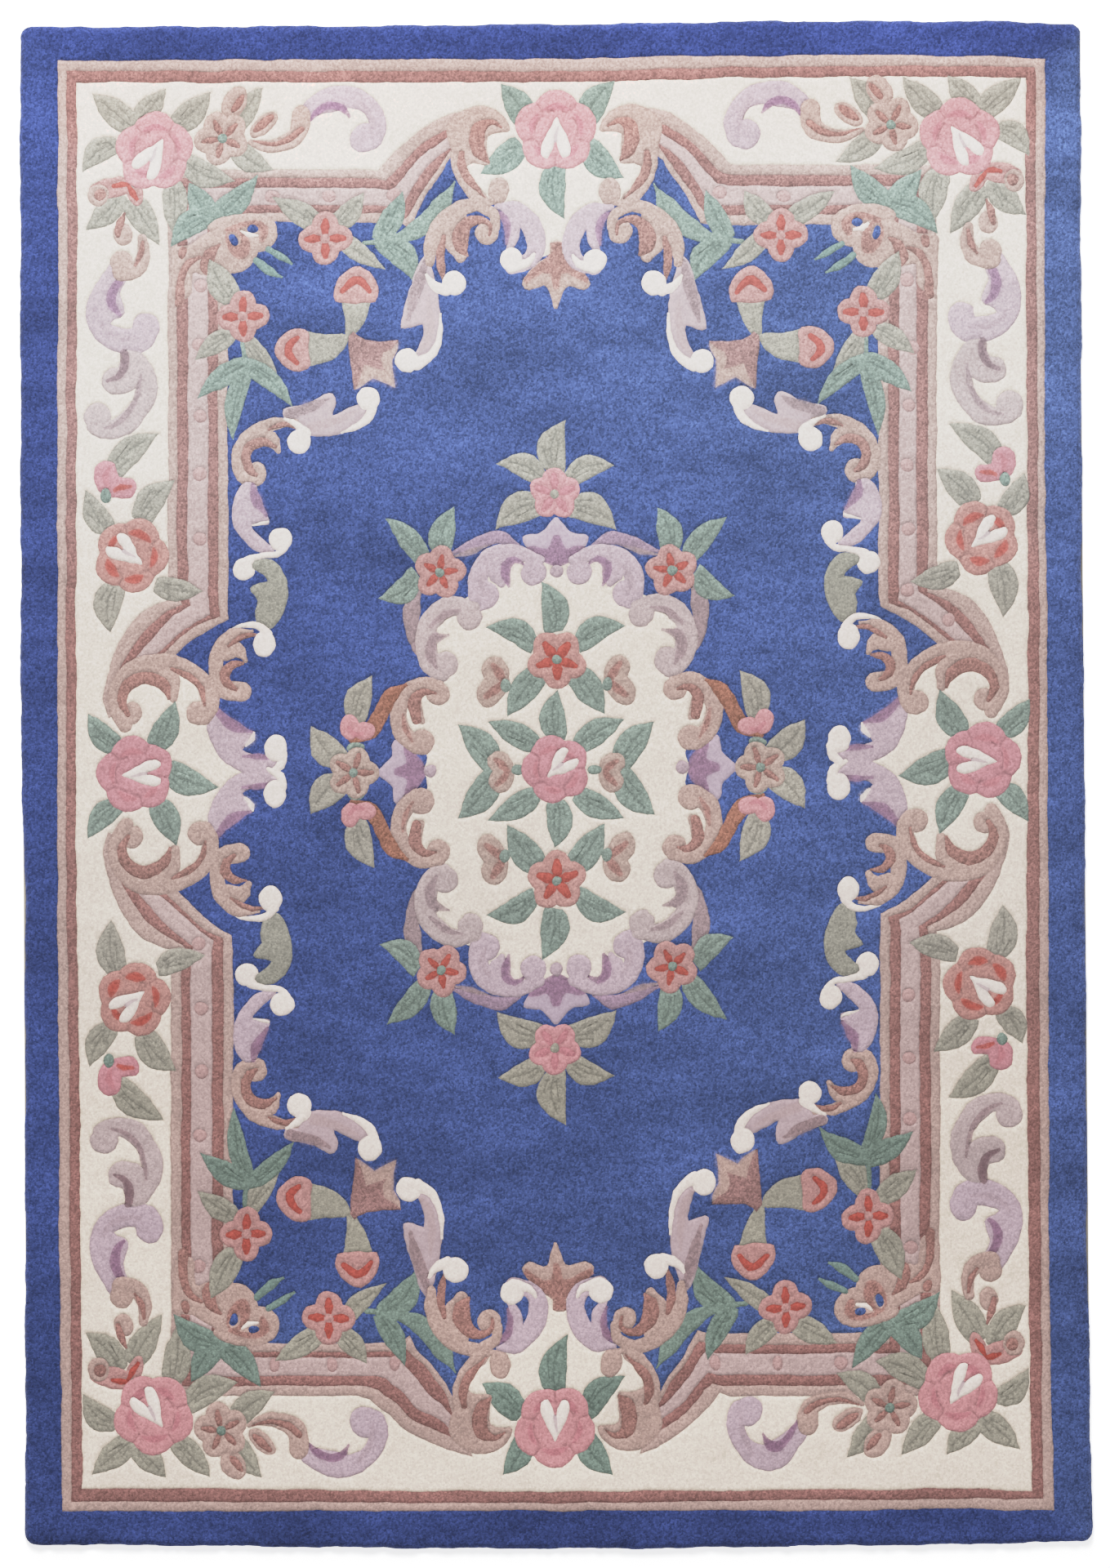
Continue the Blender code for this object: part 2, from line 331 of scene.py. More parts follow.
def top_flowers():
    """The spray between scrolls and corner: a blossom, its leaves, two buds on a cup."""
    band("jade", ((129, 793), (149, 760), (175, 735), (206, 721), (246, 716)), (2, 26, 26, 13, 7))
    leaf("jade", (228, 720), (197, 785), 30, 0.03)
    leaf("jade", (224, 718), (180, 660), 35, -0.1)
    leaf("sage", (284, 742), (247, 784), 30, 0.04)
    leaf("sage", (279, 729), (218, 679), 26, 0.03)
    leaf("sage", (304, 742), (368, 784), 30, 0.0)
    outline_shape("sage", *smooth(((236, 645), (245, 614), (260, 592))),
                  *smooth(((272, 590), (272, 617), (277, 650))))
    outline_shape("sage", *smooth(((266, 592), (274, 576), (292, 563), (322, 556))),
                  *smooth(((325, 603), (300, 597), (276, 596))))
    blossom(297, 725, 36, "peach", "coral", 4, 90, inner=0.2, reach=0.66, wide=13, notch=0.3)
    loop("peach", (232, 637), (228, 650), (231, 664), (240, 676), (252, 684), (260, 684), (272, 677),
         (282, 665), (286, 652), (283, 640), (272, 637), (257, 635), (243, 637))
    band("coral", ((239, 650), (248, 662), (258, 666), (274, 653)), (6, 10, 11, 8))
    loop("peach", (321, 600), (333, 606), (347, 603), (360, 593), (367, 582), (366, 570), (355, 557),
         (342, 549), (328, 550), (320, 558), (322, 578))
    band("coral", ((336, 593), (347, 584), (349, 573), (338, 561)), (7, 10, 11, 7))
    outline_shape("brown_rose", (202, 586), (226, 586), (246, 588), (256, 593), (261, 598), (268, 592),
                  (268, 576), (265, 550), (263, 522), (250, 528), (237, 537), (208, 523), (211, 543),
                  (211, 560), (203, 574))
    outline_shape("tan", (202, 584), (212, 576), (223, 571), (226, 562), (225, 554), (221, 547), (234, 551),
                  (248, 556), (251, 545), (256, 532), (262, 522), (250, 528), (237, 537), (208, 523),
                  (211, 543), (211, 560), (203, 574), edge="soft")


def tails():
    """The pale tails that hang from the scrolls into the field."""
    loop("pearl", (163, 694), (152, 660), (147, 625), (148, 592), (158, 566), (176, 551), (184, 560),
         (177, 575), (171, 592), (171, 606), (185, 601), (198, 602), (194, 625), (186, 655), (174, 690))
    band("dusk", ((166, 690), (174, 662), (181, 640), (188, 612)), (8, 16, 15, 5), edge="soft")
    band("pearl_dark", ((162, 645), (160, 612), (165, 585), (176, 570)), (3, 10, 10, 5), edge="soft")
    band("white", ((147, 622), (149, 592), (160, 566), (180, 553)), (3, 7, 11, 16))
    oval("white", 192, 559, 16)
    loop("pearl", (240, 497), (256, 502), (275, 496), (291, 489), (286, 505), (291, 518), (303, 517),
         (325, 506), (356, 500), (352, 482), (338, 470), (318, 463), (285, 464), (262, 473), (247, 484))
    band("dusk", ((297, 511), (318, 502), (348, 494)), (4, 14, 14), edge="soft")
    band("pearl_dark", ((258, 494), (285, 483), (318, 474)), (3, 11, 14), edge="soft")
    band("white", ((238, 502), (243, 487), (258, 475), (280, 466)), (12, 13, 9, 3))
    oval("white", 244, 510, 16)


def guard_top():
    """The scroll in the ivory band along the end."""
    band("lilac", ((336, 882), (322, 900), (296, 911), (268, 912), (245, 898), (233, 874), (240, 856)),
         (12, 26, 34, 28, 22, 24, 30))
    oval("lilac", 250, 858, 20)
    band("shade", ((240, 856), (244, 884), (260, 908)), (3, 8, 5), edge="soft")
    band("purple", ((271, 886), (282, 899), (297, 903), (312, 897), (323, 885)), (3, 10, 11, 10, 5),
         edge="soft")
    band("tan", ((336, 892), (340, 866), (372, 855), (404, 863)), (26, 26, 18, 8))
    band("brown", ((335, 873), (350, 862), (374, 858), (400, 865)), (9, 9, 6, 2))


def corner():
    """The corner: rose, blossom and buds over the band, and the large bloom with two eyes."""
    leaf("sage", (428, 862), (368, 822), 32, 0.05)
    leaf("sage", (425, 884), (386, 932), 34, -0.04)
    oval("tan", 386, 884, 22, 12, -35)
    oval("brown", 386, 886, 17, 6, -35)
    oval("tan", 426, 916, 22, 16, -55)
    oval("brown", 421, 915, 14, 5, -50)
    blossom(442, 871, 37, "blush", "brown", 5, 65, eye="jade", inner=0.18, reach=0.66, wide=10)
    leaf("sage", (505, 884), (457, 933), 34, 0.02)
    leaf("sage", (556, 896), (516, 936), 32, 0.03)
    leaf("sage", (560, 886), (613, 933), 34, 0.0)
    leaf("sage", (578, 866), (624, 828), 34, 0.12)
    leaf("sage", (492, 842), (418, 812), 34, 0.06)
    leaf("sage", (507, 812), (499, 742), 38, -0.06)
    leaf("jade", (440, 764), (388, 818), 34, 0.05)
    leaf("jade", (438, 762), (482, 812), 34, -0.02)
    leaf("jade", (438, 768), (504, 726), 36, 0.08)
    loop("tan", (424, 757), (450, 742), (478, 727), (503, 724), (504, 690), (500, 655), (478, 655),
         (474, 686), (462, 684), (440, 680), (420, 690))
    oval("tan", 410, 750, 38, 17)
    oval("tan", 393, 736, 31, 27)
    oval("tan", 418, 717, 28, 34)
    band("brown", ((464, 708), (480, 701), (490, 680), (491, 648)), (5, 10, 11, 13))
    band("brown", ((440, 722), (451, 712), (455, 695), (447, 679)), (4, 15, 19, 8))
    oval("brown", 487, 717, 6, 9, 20)
    band("brown", ((385, 727), (382, 740), (393, 749), (410, 750), (427, 745)), (9, 15, 11, 9, 6),
         edge="soft")
    oval("brown", 417, 723, 14, 23, -22, edge="soft")
    oval("blush", 422, 731, 6.5, 11, -22, edge="soft")
    band("white", ((392, 732), (404, 734), (413, 742)), (4, 8, 3))
    oval("blue", 397, 742, 7.5, 6)
    oval("blue", 423, 729, 5, 9.5, -15)
    band("pale_green", ((341, 692), (358, 703), (377, 713)), (3, 10, 8))
    band("pale_green", ((355, 675), (374, 685), (392, 699)), (3, 12, 9))
    leaf("sage", (574, 800), (620, 751), 36, -0.05)
    leaf("sage", (563, 790), (520, 726), 36, -0.02)
    oval("peach", 557, 799, 10, 20, -25)
    oval("peach", 586, 807, 30, 14, -8)
    oval("tan", 604, 797, 14, 15)
    oval("brown", 602, 798, 8)
    band("coral", ((552, 788), (560, 799), (566, 809)), (4, 8, 4))
    band("coral", ((566, 811), (576, 811), (586, 809)), (5, 8, 5))
    oval("jade", 558, 813, 7)
    oval("tan", 570, 742, 13, 15)
    band("brown", ((567, 772), (574, 757), (577, 742)), (3, 11, 7))
    band("tan", ((544, 736), (543, 714), (553, 696), (572, 694)), (13, 19, 24, 28))
    oval("tan", 573, 705, 15)
    band("brown", ((543, 733), (547, 715), (556, 700)), (4, 9, 3))
    rose(532, 853, 54, 34, "pink", "deep_pink")


def guard_side():
    """The ivory band along the side: two scrolls, a bud and a rose."""
    loop("lilac", (584, 706), (597, 688), (607, 671), (613, 651), (613, 631), (608, 616), (600, 604),
         (589, 594), (575, 587), (557, 583), (541, 585), (527, 592), (519, 604), (516, 616), (520, 629),
         (530, 636), (541, 635), (550, 628), (553, 617), (567, 618), (581, 624), (576, 629), (566, 632),
         (561, 638), (564, 650), (569, 664), (566, 678), (560, 692), (568, 702))
    band("purple", ((566, 634), (576, 645), (580, 660), (576, 676), (567, 689)), (4, 11, 14, 12, 5),
         edge="soft")
    band("shade", ((595, 630), (589, 616), (577, 608), (562, 604), (544, 605)), (3, 7, 9, 8, 4), edge="soft")
    loop("dove", (614, 492), (606, 480), (588, 474), (566, 475), (549, 482), (535, 497), (523, 517),
         (519, 537), (523, 557), (531, 572), (541, 585), (554, 589), (567, 588), (568, 574), (571, 566),
         (582, 564), (589, 559), (592, 550), (591, 540), (584, 533), (574, 530), (562, 531), (552, 534),
         (545, 539), (549, 525), (560, 510), (577, 498), (592, 500))
    oval("dove", 598, 502, 18.5)
    band("dusk", ((590, 487), (575, 491), (562, 500), (551, 513), (545, 530), (541, 556)), (3, 6, 8, 8, 7, 3),
         edge="soft")
    band("dusk_deep", ((584, 548), (572, 553), (565, 561), (562, 572), (563, 585)), (4, 8, 11, 12, 11),
         edge="soft")
    leaf("sage", (584, 428), (518, 476), 36, -0.06)
    loop("pink_mid", (574, 424), (578, 440), (592, 446), (604, 438), (606, 420), (598, 406), (580, 400),
         (560, 399), (552, 410), (556, 421), (566, 422))
    band("deep_pink", ((586, 436), (592, 426), (589, 414)), (4, 10, 5), edge="soft")
    band("coral", ((560, 412), (572, 412), (582, 408)), (4, 8, 4), edge="soft")
    oval("jade", 592, 403, 7, 9)
    leaf("sage", (552, 368), (502, 416), 38, -0.05)
    leaf("sage", (590, 360), (618, 410), 34, -0.06)
    leaf("sage", (530, 286), (466, 268), 32, 0.05)
    leaf("sage", (582, 292), (590, 221), 38, 0.06)
    rose(561, 326, 50, 129, "coral_pale", "coral", spin=25, fold=1.35)


def side_flowers():
    """The blossom and leaves inside the ribbon frame's long leg."""
    leaf("sage", (418, 645), (452, 704), 36, -0.04)
    leaf("sage", (420, 602), (472, 569), 28, 0.03)
    leaf("sage", (404, 596), (362, 538), 28, 0.03)
    leaf("jade", (410, 562), (344, 502), 26, -0.05)
    leaf("jade", (402, 562), (469, 519), 30, 0.04)
    leaf("jade", (406, 552), (424, 461), 26, 0.05)
    band("jade", ((406, 552), (409, 574), (408, 596)), (9, 6, 5))
    blossom(405, 624, 35, "peach", "coral", 4, 90, inner=0.2, reach=0.66, wide=13, notch=0.3)


def side_upper_scrolls():
    """The scrolls down the side of the field."""
    band("tan", ((340, 482), (372, 480), (400, 464), (416, 440), (411, 416), (396, 412)),
         (8, 18, 26, 24, 26, 28))
    band("tan", ((392, 462), (374, 460), (364, 444)), (22, 22, 8))
    oval("tan", 396, 416, 15)
    band("brown", ((336, 471), (348, 479), (364, 479), (378, 473)), (3, 8, 8, 3))
    band("brown", ((368, 449), (384, 457), (402, 452), (409, 436), (403, 420), (393, 414)),
         (4, 13, 14, 13, 12, 4))
    band("white", ((354, 487), (340, 479), (328, 466)), (4, 9, 16))
    oval("white", 336, 456, 16)
    loop("lilac", (409, 405), (422, 392), (428, 372), (426, 350), (412, 330), (396, 317), (370, 312),
         (372, 320), (388, 334), (402, 350), (379, 353), (382, 367), (393, 382), (394, 400))
    band("purple", ((399, 402), (396, 384), (382, 364)), (6, 14, 5), edge="soft")
    band("white", ((379, 357), (388, 354), (402, 351)), (3, 5, 2))
    band("white", ((358, 322), (368, 313), (388, 311), (408, 305)), (10, 9, 8, 12))
    oval("white", 364, 333, 15.5)
    oval("white", 412, 293, 15.5)
    loop("sage_deep", (398, 304), (375, 306), (358, 288), (353, 262), (360, 236), (374, 216), (391, 216),
         (397, 240), (394, 252), (405, 268), (388, 274), (380, 276), (386, 284), (400, 294))
    band("white", ((380, 208), (394, 221), (420, 220), (440, 208)), (12, 9, 5, 2))
    band("tan", ((398, 214), (428, 210), (448, 190), (452, 162), (442, 140), (420, 136)),
         (4, 16, 20, 20, 26, 26))
    band("tan", ((440, 188), (422, 190), (412, 176)), (24, 22, 8))
    band("brown", ((391, 208), (408, 209), (422, 203), (436, 194)), (3, 7, 7, 3))
    band("brown", ((414, 172), (430, 171), (441, 160), (438, 147), (426, 138)), (3, 11, 14, 12, 4))
    oval("white", 385, 196, 15, 17)


def side_centre():
    """The scrolls about the rose at the middle of the side."""
    loop("ivory", (468, 140), (490, 165), (540, 172), (576, 148), (590, 112), (575, 80), (520, 70), (470, 84))
    loop("lilac", (401, 82), (420, 87), (437, 98), (453, 117), (464, 102), (460, 74), (448, 50), (430, 36),
         (404, 26), (378, 27), (368, 40), (376, 50), (398, 52), (417, 58), (408, 68))
    band("purple", ((404, 82), (430, 91), (454, 114)), (3, 15, 9), edge="soft")
    band("purple", ((373, 45), (395, 50), (418, 50)), (3, 9, 3), edge="soft")
    band("white", ((402, 82), (404, 74), (414, 63)), (2, 8, 3), edge="soft")
    band("white", ((362, 52), (366, 37), (382, 27)), (10, 13, 6))
    oval("white", 373, 60, 15, 18)
    band("tan", ((574, 98), (589, 125), (580, 155), (555, 174), (520, 178), (490, 168), (468, 148),
         (460, 122), (468, 104)), (20, 16, 18, 24, 22, 20, 24, 24, 22))
    band("tan", ((534, 172), (512, 155), (508, 130)), (22, 22, 12))
    oval("tan", 564, 113, 14, 15)
    oval("tan", 474, 109, 17, 16)
    band("brown", ((514, 128), (522, 148), (545, 159), (568, 150), (578, 130), (570, 112)),
         (4, 15, 17, 16, 13, 7))
    band("brown", ((467, 118), (472, 140), (485, 155), (500, 163), (513, 169)), (3, 8, 9, 8, 3))
    leaf("jade", (536, 66), (506, 126), 36, 0.05)
    leaf("jade", (584, 66), (623, 114), 32, -0.05)


def medallion_quarter():
    """A quarter of the medallion: its scrolls, sprays and small blossoms."""
    band("mauve", ((48, 316), (74, 326), (102, 319), (138, 307)), (4, 18, 17, 4))
    band("dusk", ((90, 315), (112, 308), (134, 304)), (3, 8, 3), edge="soft")
    band("lilac", ((22, 296), (52, 306), (84, 299), (103, 276), (98, 248)), (14, 22, 28, 26, 32))
    band("lilac", ((74, 298), (80, 280), (72, 266)), (22, 22, 10))
    oval("lilac", 30, 280, 17)
    oval("lilac", 93, 252, 18)
    band("purple", ((42, 291), (54, 298), (66, 290), (66, 275), (62, 262)), (3, 9, 14, 12, 3), edge="soft")
    band("shade", ((88, 288), (99, 270), (94, 254)), (4, 9, 4), edge="soft")
    band("dusk", ((182, 262), (190, 236), (190, 210), (184, 188), (176, 170)), (10, 24, 18, 14, 4))
    band("dove", ((108, 236), (140, 240), (163, 224), (172, 198), (168, 172), (152, 156)),
         (18, 26, 28, 30, 28, 30))
    oval("dove", 113, 225, 17)
    oval("dove", 147, 164, 18)
    loop("ivory", (120, 208), (135, 222), (150, 218), (158, 208), (136, 202))
    band("dusk", ((124, 235), (146, 230), (166, 214)), (3, 10, 5), edge="soft")
    band("dusk", ((140, 204), (162, 197), (166, 178), (157, 160)), (3, 15, 14, 4), edge="soft")
    band("tan", ((152, 138), (178, 138), (200, 124), (209, 100), (202, 74), (184, 58)),
         (12, 24, 24, 22, 24, 24))
    band("tan", ((190, 128), (186, 108), (178, 90)), (22, 18, 10))
    oval("tan", 156, 127, 16)
    oval("tan", 178, 62, 17)
    band("brown", ((158, 127), (175, 129), (187, 116), (184, 92)), (3, 11, 17, 13))
    band("brown", ((203, 102), (199, 80), (189, 62)), (3, 8, 3), edge="soft")
    band("brown_warm", ((196, 140), (218, 125), (232, 100), (246, 78), (270, 67)), (4, 20, 20, 22, 10))
    leaf("sage", (266, 90), (242, 151), 38, -0.08)
    oval("pink", 254, 78, 15, 12)
    oval("pink", 274, 84, 13, 17, -10)
    band("deep_pink", ((254, 76), (266, 73), (275, 83)), (4, 7, 5), edge="soft")
    oval("jade", 266, 57, 12, 7)
    leaf("sage", (283, 38), (327, 87), 39, -0.06)
    leaf("jade", (152, 306), (133, 366), 34, -0.06)
    leaf("jade", (172, 298), (225, 354), 30, 0.04)
    leaf("jade", (184, 284), (235, 250), 32, -0.12)
    blossom(153, 283, 35, "peach", "coral", 5, 100, eye="jade", inner=0.1, reach=0.6, wide=11)
    leaf("jade", (26, 50), (90, 86), 32, 0.03)
    leaf("jade", (82, 24), (130, 84), 38, 0.05)
    leaf("jade", (28, 184), (92, 210), 34, 0.1)
    leaf("jade", (20, 152), (64, 92), 38, 0.03)
    loop("clay", (62, 138), (64, 156), (74, 169), (88, 170), (97, 160), (98, 149), (95, 142), (103, 132),
         (105, 118), (98, 106), (86, 105), (75, 113), (66, 126))
    band("brown", ((84, 160), (76, 149), (70, 138), (80, 128), (92, 119)), (8, 13, 9, 12, 8), edge="soft")
    oval("jade", 67, 133, 7, 9)
    leaf("sage", (14, 399), (77, 421), 33, 0.1)
    leaf("sage", (16, 369), (79, 336), 40, 0.1)


def both_halves(half):
    """A closed outline from its right half, which starts on the middle line."""
    return [*half, *((-x, y) for x, y in reversed(half[1:]))]


def palmette(x, y, turn):
    """Three light prongs out of a purple cup, with a ball at its foot."""
    prongs = both_halves(((0, 0), (14, 6), (28, 17), (40, 29), (43, 40), (34, 44), (22, 45), (14, 52),
                         (2, 66)))
    cup = both_halves(((0, 0), (14, 5), (27, 15), (38, 27), (25, 28), (12, 25), (4, 42)))
    lay("pearl_lilac", smooth(turned(x, y, 1, turn, prongs), closed=True))
    lay("purple", smooth(turned(x, y, 1, turn, cup), closed=True), "soft")
    foot = turned(x, y, 1, turn, ((0, -6),))[0]
    oval("shade", foot[0], foot[1], 9)


# ---------------------------------------------------------------- the whole design
# How far what was drawn top right strays in the other quarters: (x, y, right, up), eased between these.
STILL = ((0, 200, 0, 0), (150, 150, 0, 0))   # places near the middle that don't stray
DRIFT = {
    (1, 1): ((0, 0, 0, 0),),
    (-1, 1): (*STILL,
        (0, 862, 0, 0), (52, 692, -8, 3), (138, 812, -4, 8), (100, 853, -5, 0), (297, 727, -8, 7),
        (285, 930, 0, 5), (257, 660, -7, 10), (531, 854, 4, 3), (444, 870, 2, -1), (410, 725, -1, 9),
        (440, 766, -13, 0), (405, 622, -9, 10), (405, 550, -2, 11), (395, 415, 0, 11), (336, 457, -3, 10),
        (365, 333, 0, 5), (412, 292, 0, 8), (386, 195, 0, 5), (422, 135, 5, 4), (473, 108, 4, 5),
        (372, 62, 3, 3), (561, 325, 1, -2), (565, 530, -8, 7), (573, 640, -8, 7), (573, 705, 0, 7),
        (562, 32, 8, 4)),
    (-1, -1): (*STILL,
        (0, 862, -2, -24), (52, 692, -6, -17), (138, 812, -4, -22), (100, 853, 0, -25), (297, 727, -3, -17),
        (257, 660, -6, -19), (212, 720, -5, -17), (285, 930, 0, -24), (337, 893, -4, -23), (0, 640, 0, -15),
        (0, 384, 0, -2), (531, 854, 2, -17), (444, 870, 1, -20), (410, 725, -2, -17), (440, 766, -5, -10),
        (504, 726, -1, -11), (405, 622, -4, -7), (405, 550, 0, -4), (395, 415, 0, 0), (336, 457, -3, -6),
        (365, 333, 3, 5), (412, 292, 4, 4), (386, 195, 8, 7), (422, 135, 4, 7), (473, 108, 5, 6),
        (372, 62, 2, 9), (561, 325, 4, 4), (565, 530, 2, -5), (573, 640, -3, -5), (573, 705, 0, -9),
        (190, 830, 0, -22), (562, 32, 8, 4)),
    (1, -1): (*STILL,
        (0, 862, -2, -24), (52, 692, 8, -17), (138, 812, 4, -22), (100, 853, -4, -25), (297, 727, 6, -15),
        (257, 660, 3, -20), (346, 577, 3, -12), (285, 930, -3, -27), (247, 860, 3, -17), (337, 893, -4, -4),
        (0, 640, 0, -15), (0, 384, 0, -2), (531, 854, -2, -7), (444, 870, -2, -7), (410, 725, 4, -9),
        (440, 766, 5, 2), (405, 622, 7, 0), (405, 550, 3, 13), (395, 415, -5, -3), (561, 325, -2, 1),
        (565, 430, -5, 6), (565, 530, 0, 5), (573, 640, 3, 1), (573, 705, 0, 3), (190, 830, 2, -22),
        (386, 195, 0, 4), (372, 62, 0, 4)),
}
# The same for the ends of the ribbon frame, which bend otherwise at the rug's near end.
# Where its two near ends stray alike.
NEAR_END = (
    (110, 880, 0, -30), (185, 850, -12, -30), (222, 808, -16, -32), (200, 762, -8, -29),
    (135, 845, -4, -27), (140, 822, 2, -11), (165, 786, 2, -14), (190, 742, -2, -26))
RIBBON_DRIFT = {
    (1, 1): ((0, 0, 0, 0),),
    (-1, 1): ((110, 880, -4, 0), (427, 235, -5, 0), (500, 187, -2, 3), (590, 120, 0, 3)),
    (-1, -1): (*NEAR_END, (427, 235, 0, -2), (500, 187, 0, 8), (590, 120, 0, 6)),
    (1, -1): (*NEAR_END, (427, 235, 0, 9), (500, 187, 0, 10), (590, 120, 0, 4)),
}
# The ribbon frame's straight legs, quarter by quarter: six edges from the outer to the inner.
LEGS_ACROSS = {(1, 1): (502, 490, 475, 452, 438, 425), (-1, 1): (512, 500, 486, 459, 446, 433),
               (-1, -1): (508, 494, 482, 454, 439, 426), (1, -1): (506, 494, 480, 454, 440, 427)}
LEGS_UP = {(1, 1): (817, 804, 790, 765, 752, 738), (-1, 1): (811, 800, 787, 764, 754, 742),
           (-1, -1): (-806, -793, -780, -755, -748, -736), (1, -1): (-806, -792, -778, -750, -738, -723)}
RIBBON_YARNS = ("ribbon_tan", "rose", "ribbon_lilac", "rose", "ribbon_tan", "blue")
RIBBON_TOPS = (
    ((110, 895), (150, 885), (185, 863), (213, 838), (230, 819)),
    ((122, 876), (150, 866), (180, 847), (203, 823), (220, 806)),
    ((122, 873), (150, 852), (175, 836), (195, 812), (212, 793)),
    ((135, 846), (160, 828), (180, 803), (197, 775), (205, 767)),
    ((135, 843), (155, 812), (175, 785), (190, 760), (195, 754)),
    ((140, 824), (150, 806), (167, 784), (180, 760), (190, 740)),
)
RIBBON_SIDES = (
    ((502, 262), (520, 258), (550, 242), (575, 208), (590, 170), (598, 135), (590, 108)),
    ((489, 255), (515, 243), (543, 220), (563, 192), (575, 172)),
    ((478, 254), (505, 238), (530, 213), (550, 190), (562, 175)),
    ((452, 243), (475, 230), (500, 212), (520, 195), (535, 184)),
    ((438, 240), (470, 228), (500, 205), (520, 186)),
    ((427, 235), (450, 224), (480, 205), (502, 185)),
)
FIELD_SIDE_END = ((475, 168), (456, 150), (455, 118), (440, 100), (425, 75), (415, 45), (395, 20))
FIELD_TOP_END = ((0, 698), (20, 695), (22, 730), (45, 760), (80, 768), (115, 785), (127, 812), (130, 832))

# The lines between border and bands, from side to side: (place along it, where the line runs).
BLUE_TO_TAN = {
    "left": ((-960, -652), (-600, -655), (0, -657.6), (960, -657)),
    "right": ((-960, 656), (-750, 652), (-600, 650), (0, 648.5), (200, 647), (500, 644), (960, 645)),
    "top": ((-660, 954.6), (-450, 956), (0, 957), (200, 961), (400, 963), (550, 961), (650, 957.5)),
    "bottom": ((-660, -958), (400, -957), (500, -954.5), (660, -957)),
}
TAN_TO_ROSE = {
    "left": ((-960, -639), (-500, -641), (0, -646), (960, -645)),
    "right": ((-960, 641), (-650, 640), (-500, 638), (-200, 637), (100, 637), (960, 632)),
    "top": ((-660, 941), (0, 941), (300, 947), (500, 948), (660, 946)),
    "bottom": ((-660, -945), (0, -947), (350, -943), (660, -941)),
}
ROSE_TO_IVORY = {
    "left": ((-960, -625), (-500, -628), (0, -633), (960, -632)),
    "right": ((-960, 627), (-650, 624), (-500, 622), (-200, 620), (100, 622), (960, 619)),
    "top": ((-660, 926), (0, 927), (300, 933), (500, 934), (660, 932)),
    "bottom": ((-660, -928), (0, -932), (350, -930), (520, -928), (660, -932)),
}


def axis(x):
    """The height of the design's long middle line, which tilts a little."""
    return CENTRE_Y + 0.02 * x


def moved(point, side_x, side_y, drift=None):
    """Where a point drawn top right comes in another quarter, with the drift of the places near it."""
    x, y = point
    total = right = up = 0.0
    for ax, ay, move_x, move_y in (drift or DRIFT)[side_x, side_y]:
        near = ((x - ax) ** 2 + (y - ay) ** 2 + 400.0) ** -1.5
        total += near
        right += near * move_x
        up += near * move_y
    return side_x * x + right / total, axis(side_x * x) + side_y * (y - axis(x)) + up / total


def tuft(motif, *sides):
    """Lays what a motif draws for the top right quarter in each of these quarters."""
    for side in sides:
        first, first_vein = len(PATCHES), len(VEINS)
        motif()
        PATCHES[first:] = [(yarn, [moved(p, *side) for p in outline], edge)
                           for yarn, outline, edge in PATCHES[first:]]
        VEINS[first_vein:] = [(leaf_at, [moved(p, *side) for p in line])
                              for leaf_at, line in VEINS[first_vein:]]


QUARTERS = ((1, 1), (-1, 1), (-1, -1), (1, -1))
TOP_AND_BOTTOM = ((1, 1), (1, -1))
BOTH_SIDES = ((1, 1), (-1, 1))


def along(table, place):
    """The value at a place in a table of (place, value), with a smooth step from each to the next."""
    for (a, va), (b, vb) in zip(table, table[1:]):
        if place <= b:
            t = max(0.0, (place - a) / (b - a))
            return va + (vb - va) * t * t * (3 - 2 * t)
    return table[-1][1]


def framed(lines):
    """A closed line round the rug through its four sides' tables."""
    corners = [(along(lines[side], y), along(lines[end], x))
               for side, end, x, y in (("left", "bottom", -650, -940), ("right", "bottom", 650, -940),
                                       ("right", "top", 650, 940), ("left", "top", -650, 940))]
    outline = []
    for k, (start, stop) in enumerate(zip(corners, corners[1:] + corners[:1])):
        steps = round(math.dist(start, stop) / 12)
        for i in range(steps):
            x = start[0] + (stop[0] - start[0]) * i / steps
            y = start[1] + (stop[1] - start[1]) * i / steps
            name = ("bottom", "right", "top", "left")[k]
            if i:
                x, y = (x, along(lines[name], x)) if k % 2 == 0 else (along(lines[name], y), y)
            outline.append((x, y))
    return outline


def ribbon(side):
    """The ribbon frame of one quarter, each edge laid over the last, and the blue field inside it."""
    across, up = LEGS_ACROSS[side], LEGS_UP[side]
    for k, yarn in enumerate(RIBBON_YARNS):
        over = [moved(p, *side, RIBBON_DRIFT) for p in smooth(RIBBON_TOPS[k])]
        down = [moved(p, *side, RIBBON_DRIFT) for p in smooth(RIBBON_SIDES[k])]
        corner_at = (side[0] * across[k], up[k])
        ease_in = [p for p in over if abs(p[0]) < abs(corner_at[0]) - 60]
        inner = [moved(p, *side) for p in smooth(FIELD_SIDE_END)]
        middle = [(inner[-1][0], inner[-1][1] - side[1] * 6), (-side[0] * 4, CENTRE_Y - side[1] * 6)]
        top = [moved(p, *side) for p in smooth(FIELD_TOP_END)]
        top[0] = (-side[0] * 4, top[0][1])
        legs = [(ease_in[-1][0] + side[0] * 14, up[k]), corner_at, (corner_at[0], down[0][1] + side[1] * 16)]
        lay(yarn, ease_in + spaced(legs) + down + inner + spaced(middle) + top)


def spaced(points, step=12.0):
    """The same line with a point at least every step."""
    line = []
    for a, b in zip(points, points[1:]):
        count = max(1, round(math.dist(a, b) / step))
        line += [(a[0] + (b[0] - a[0]) * k / count, a[1] + (b[1] - a[1]) * k / count) for k in range(count)]
    return line + [points[-1]]


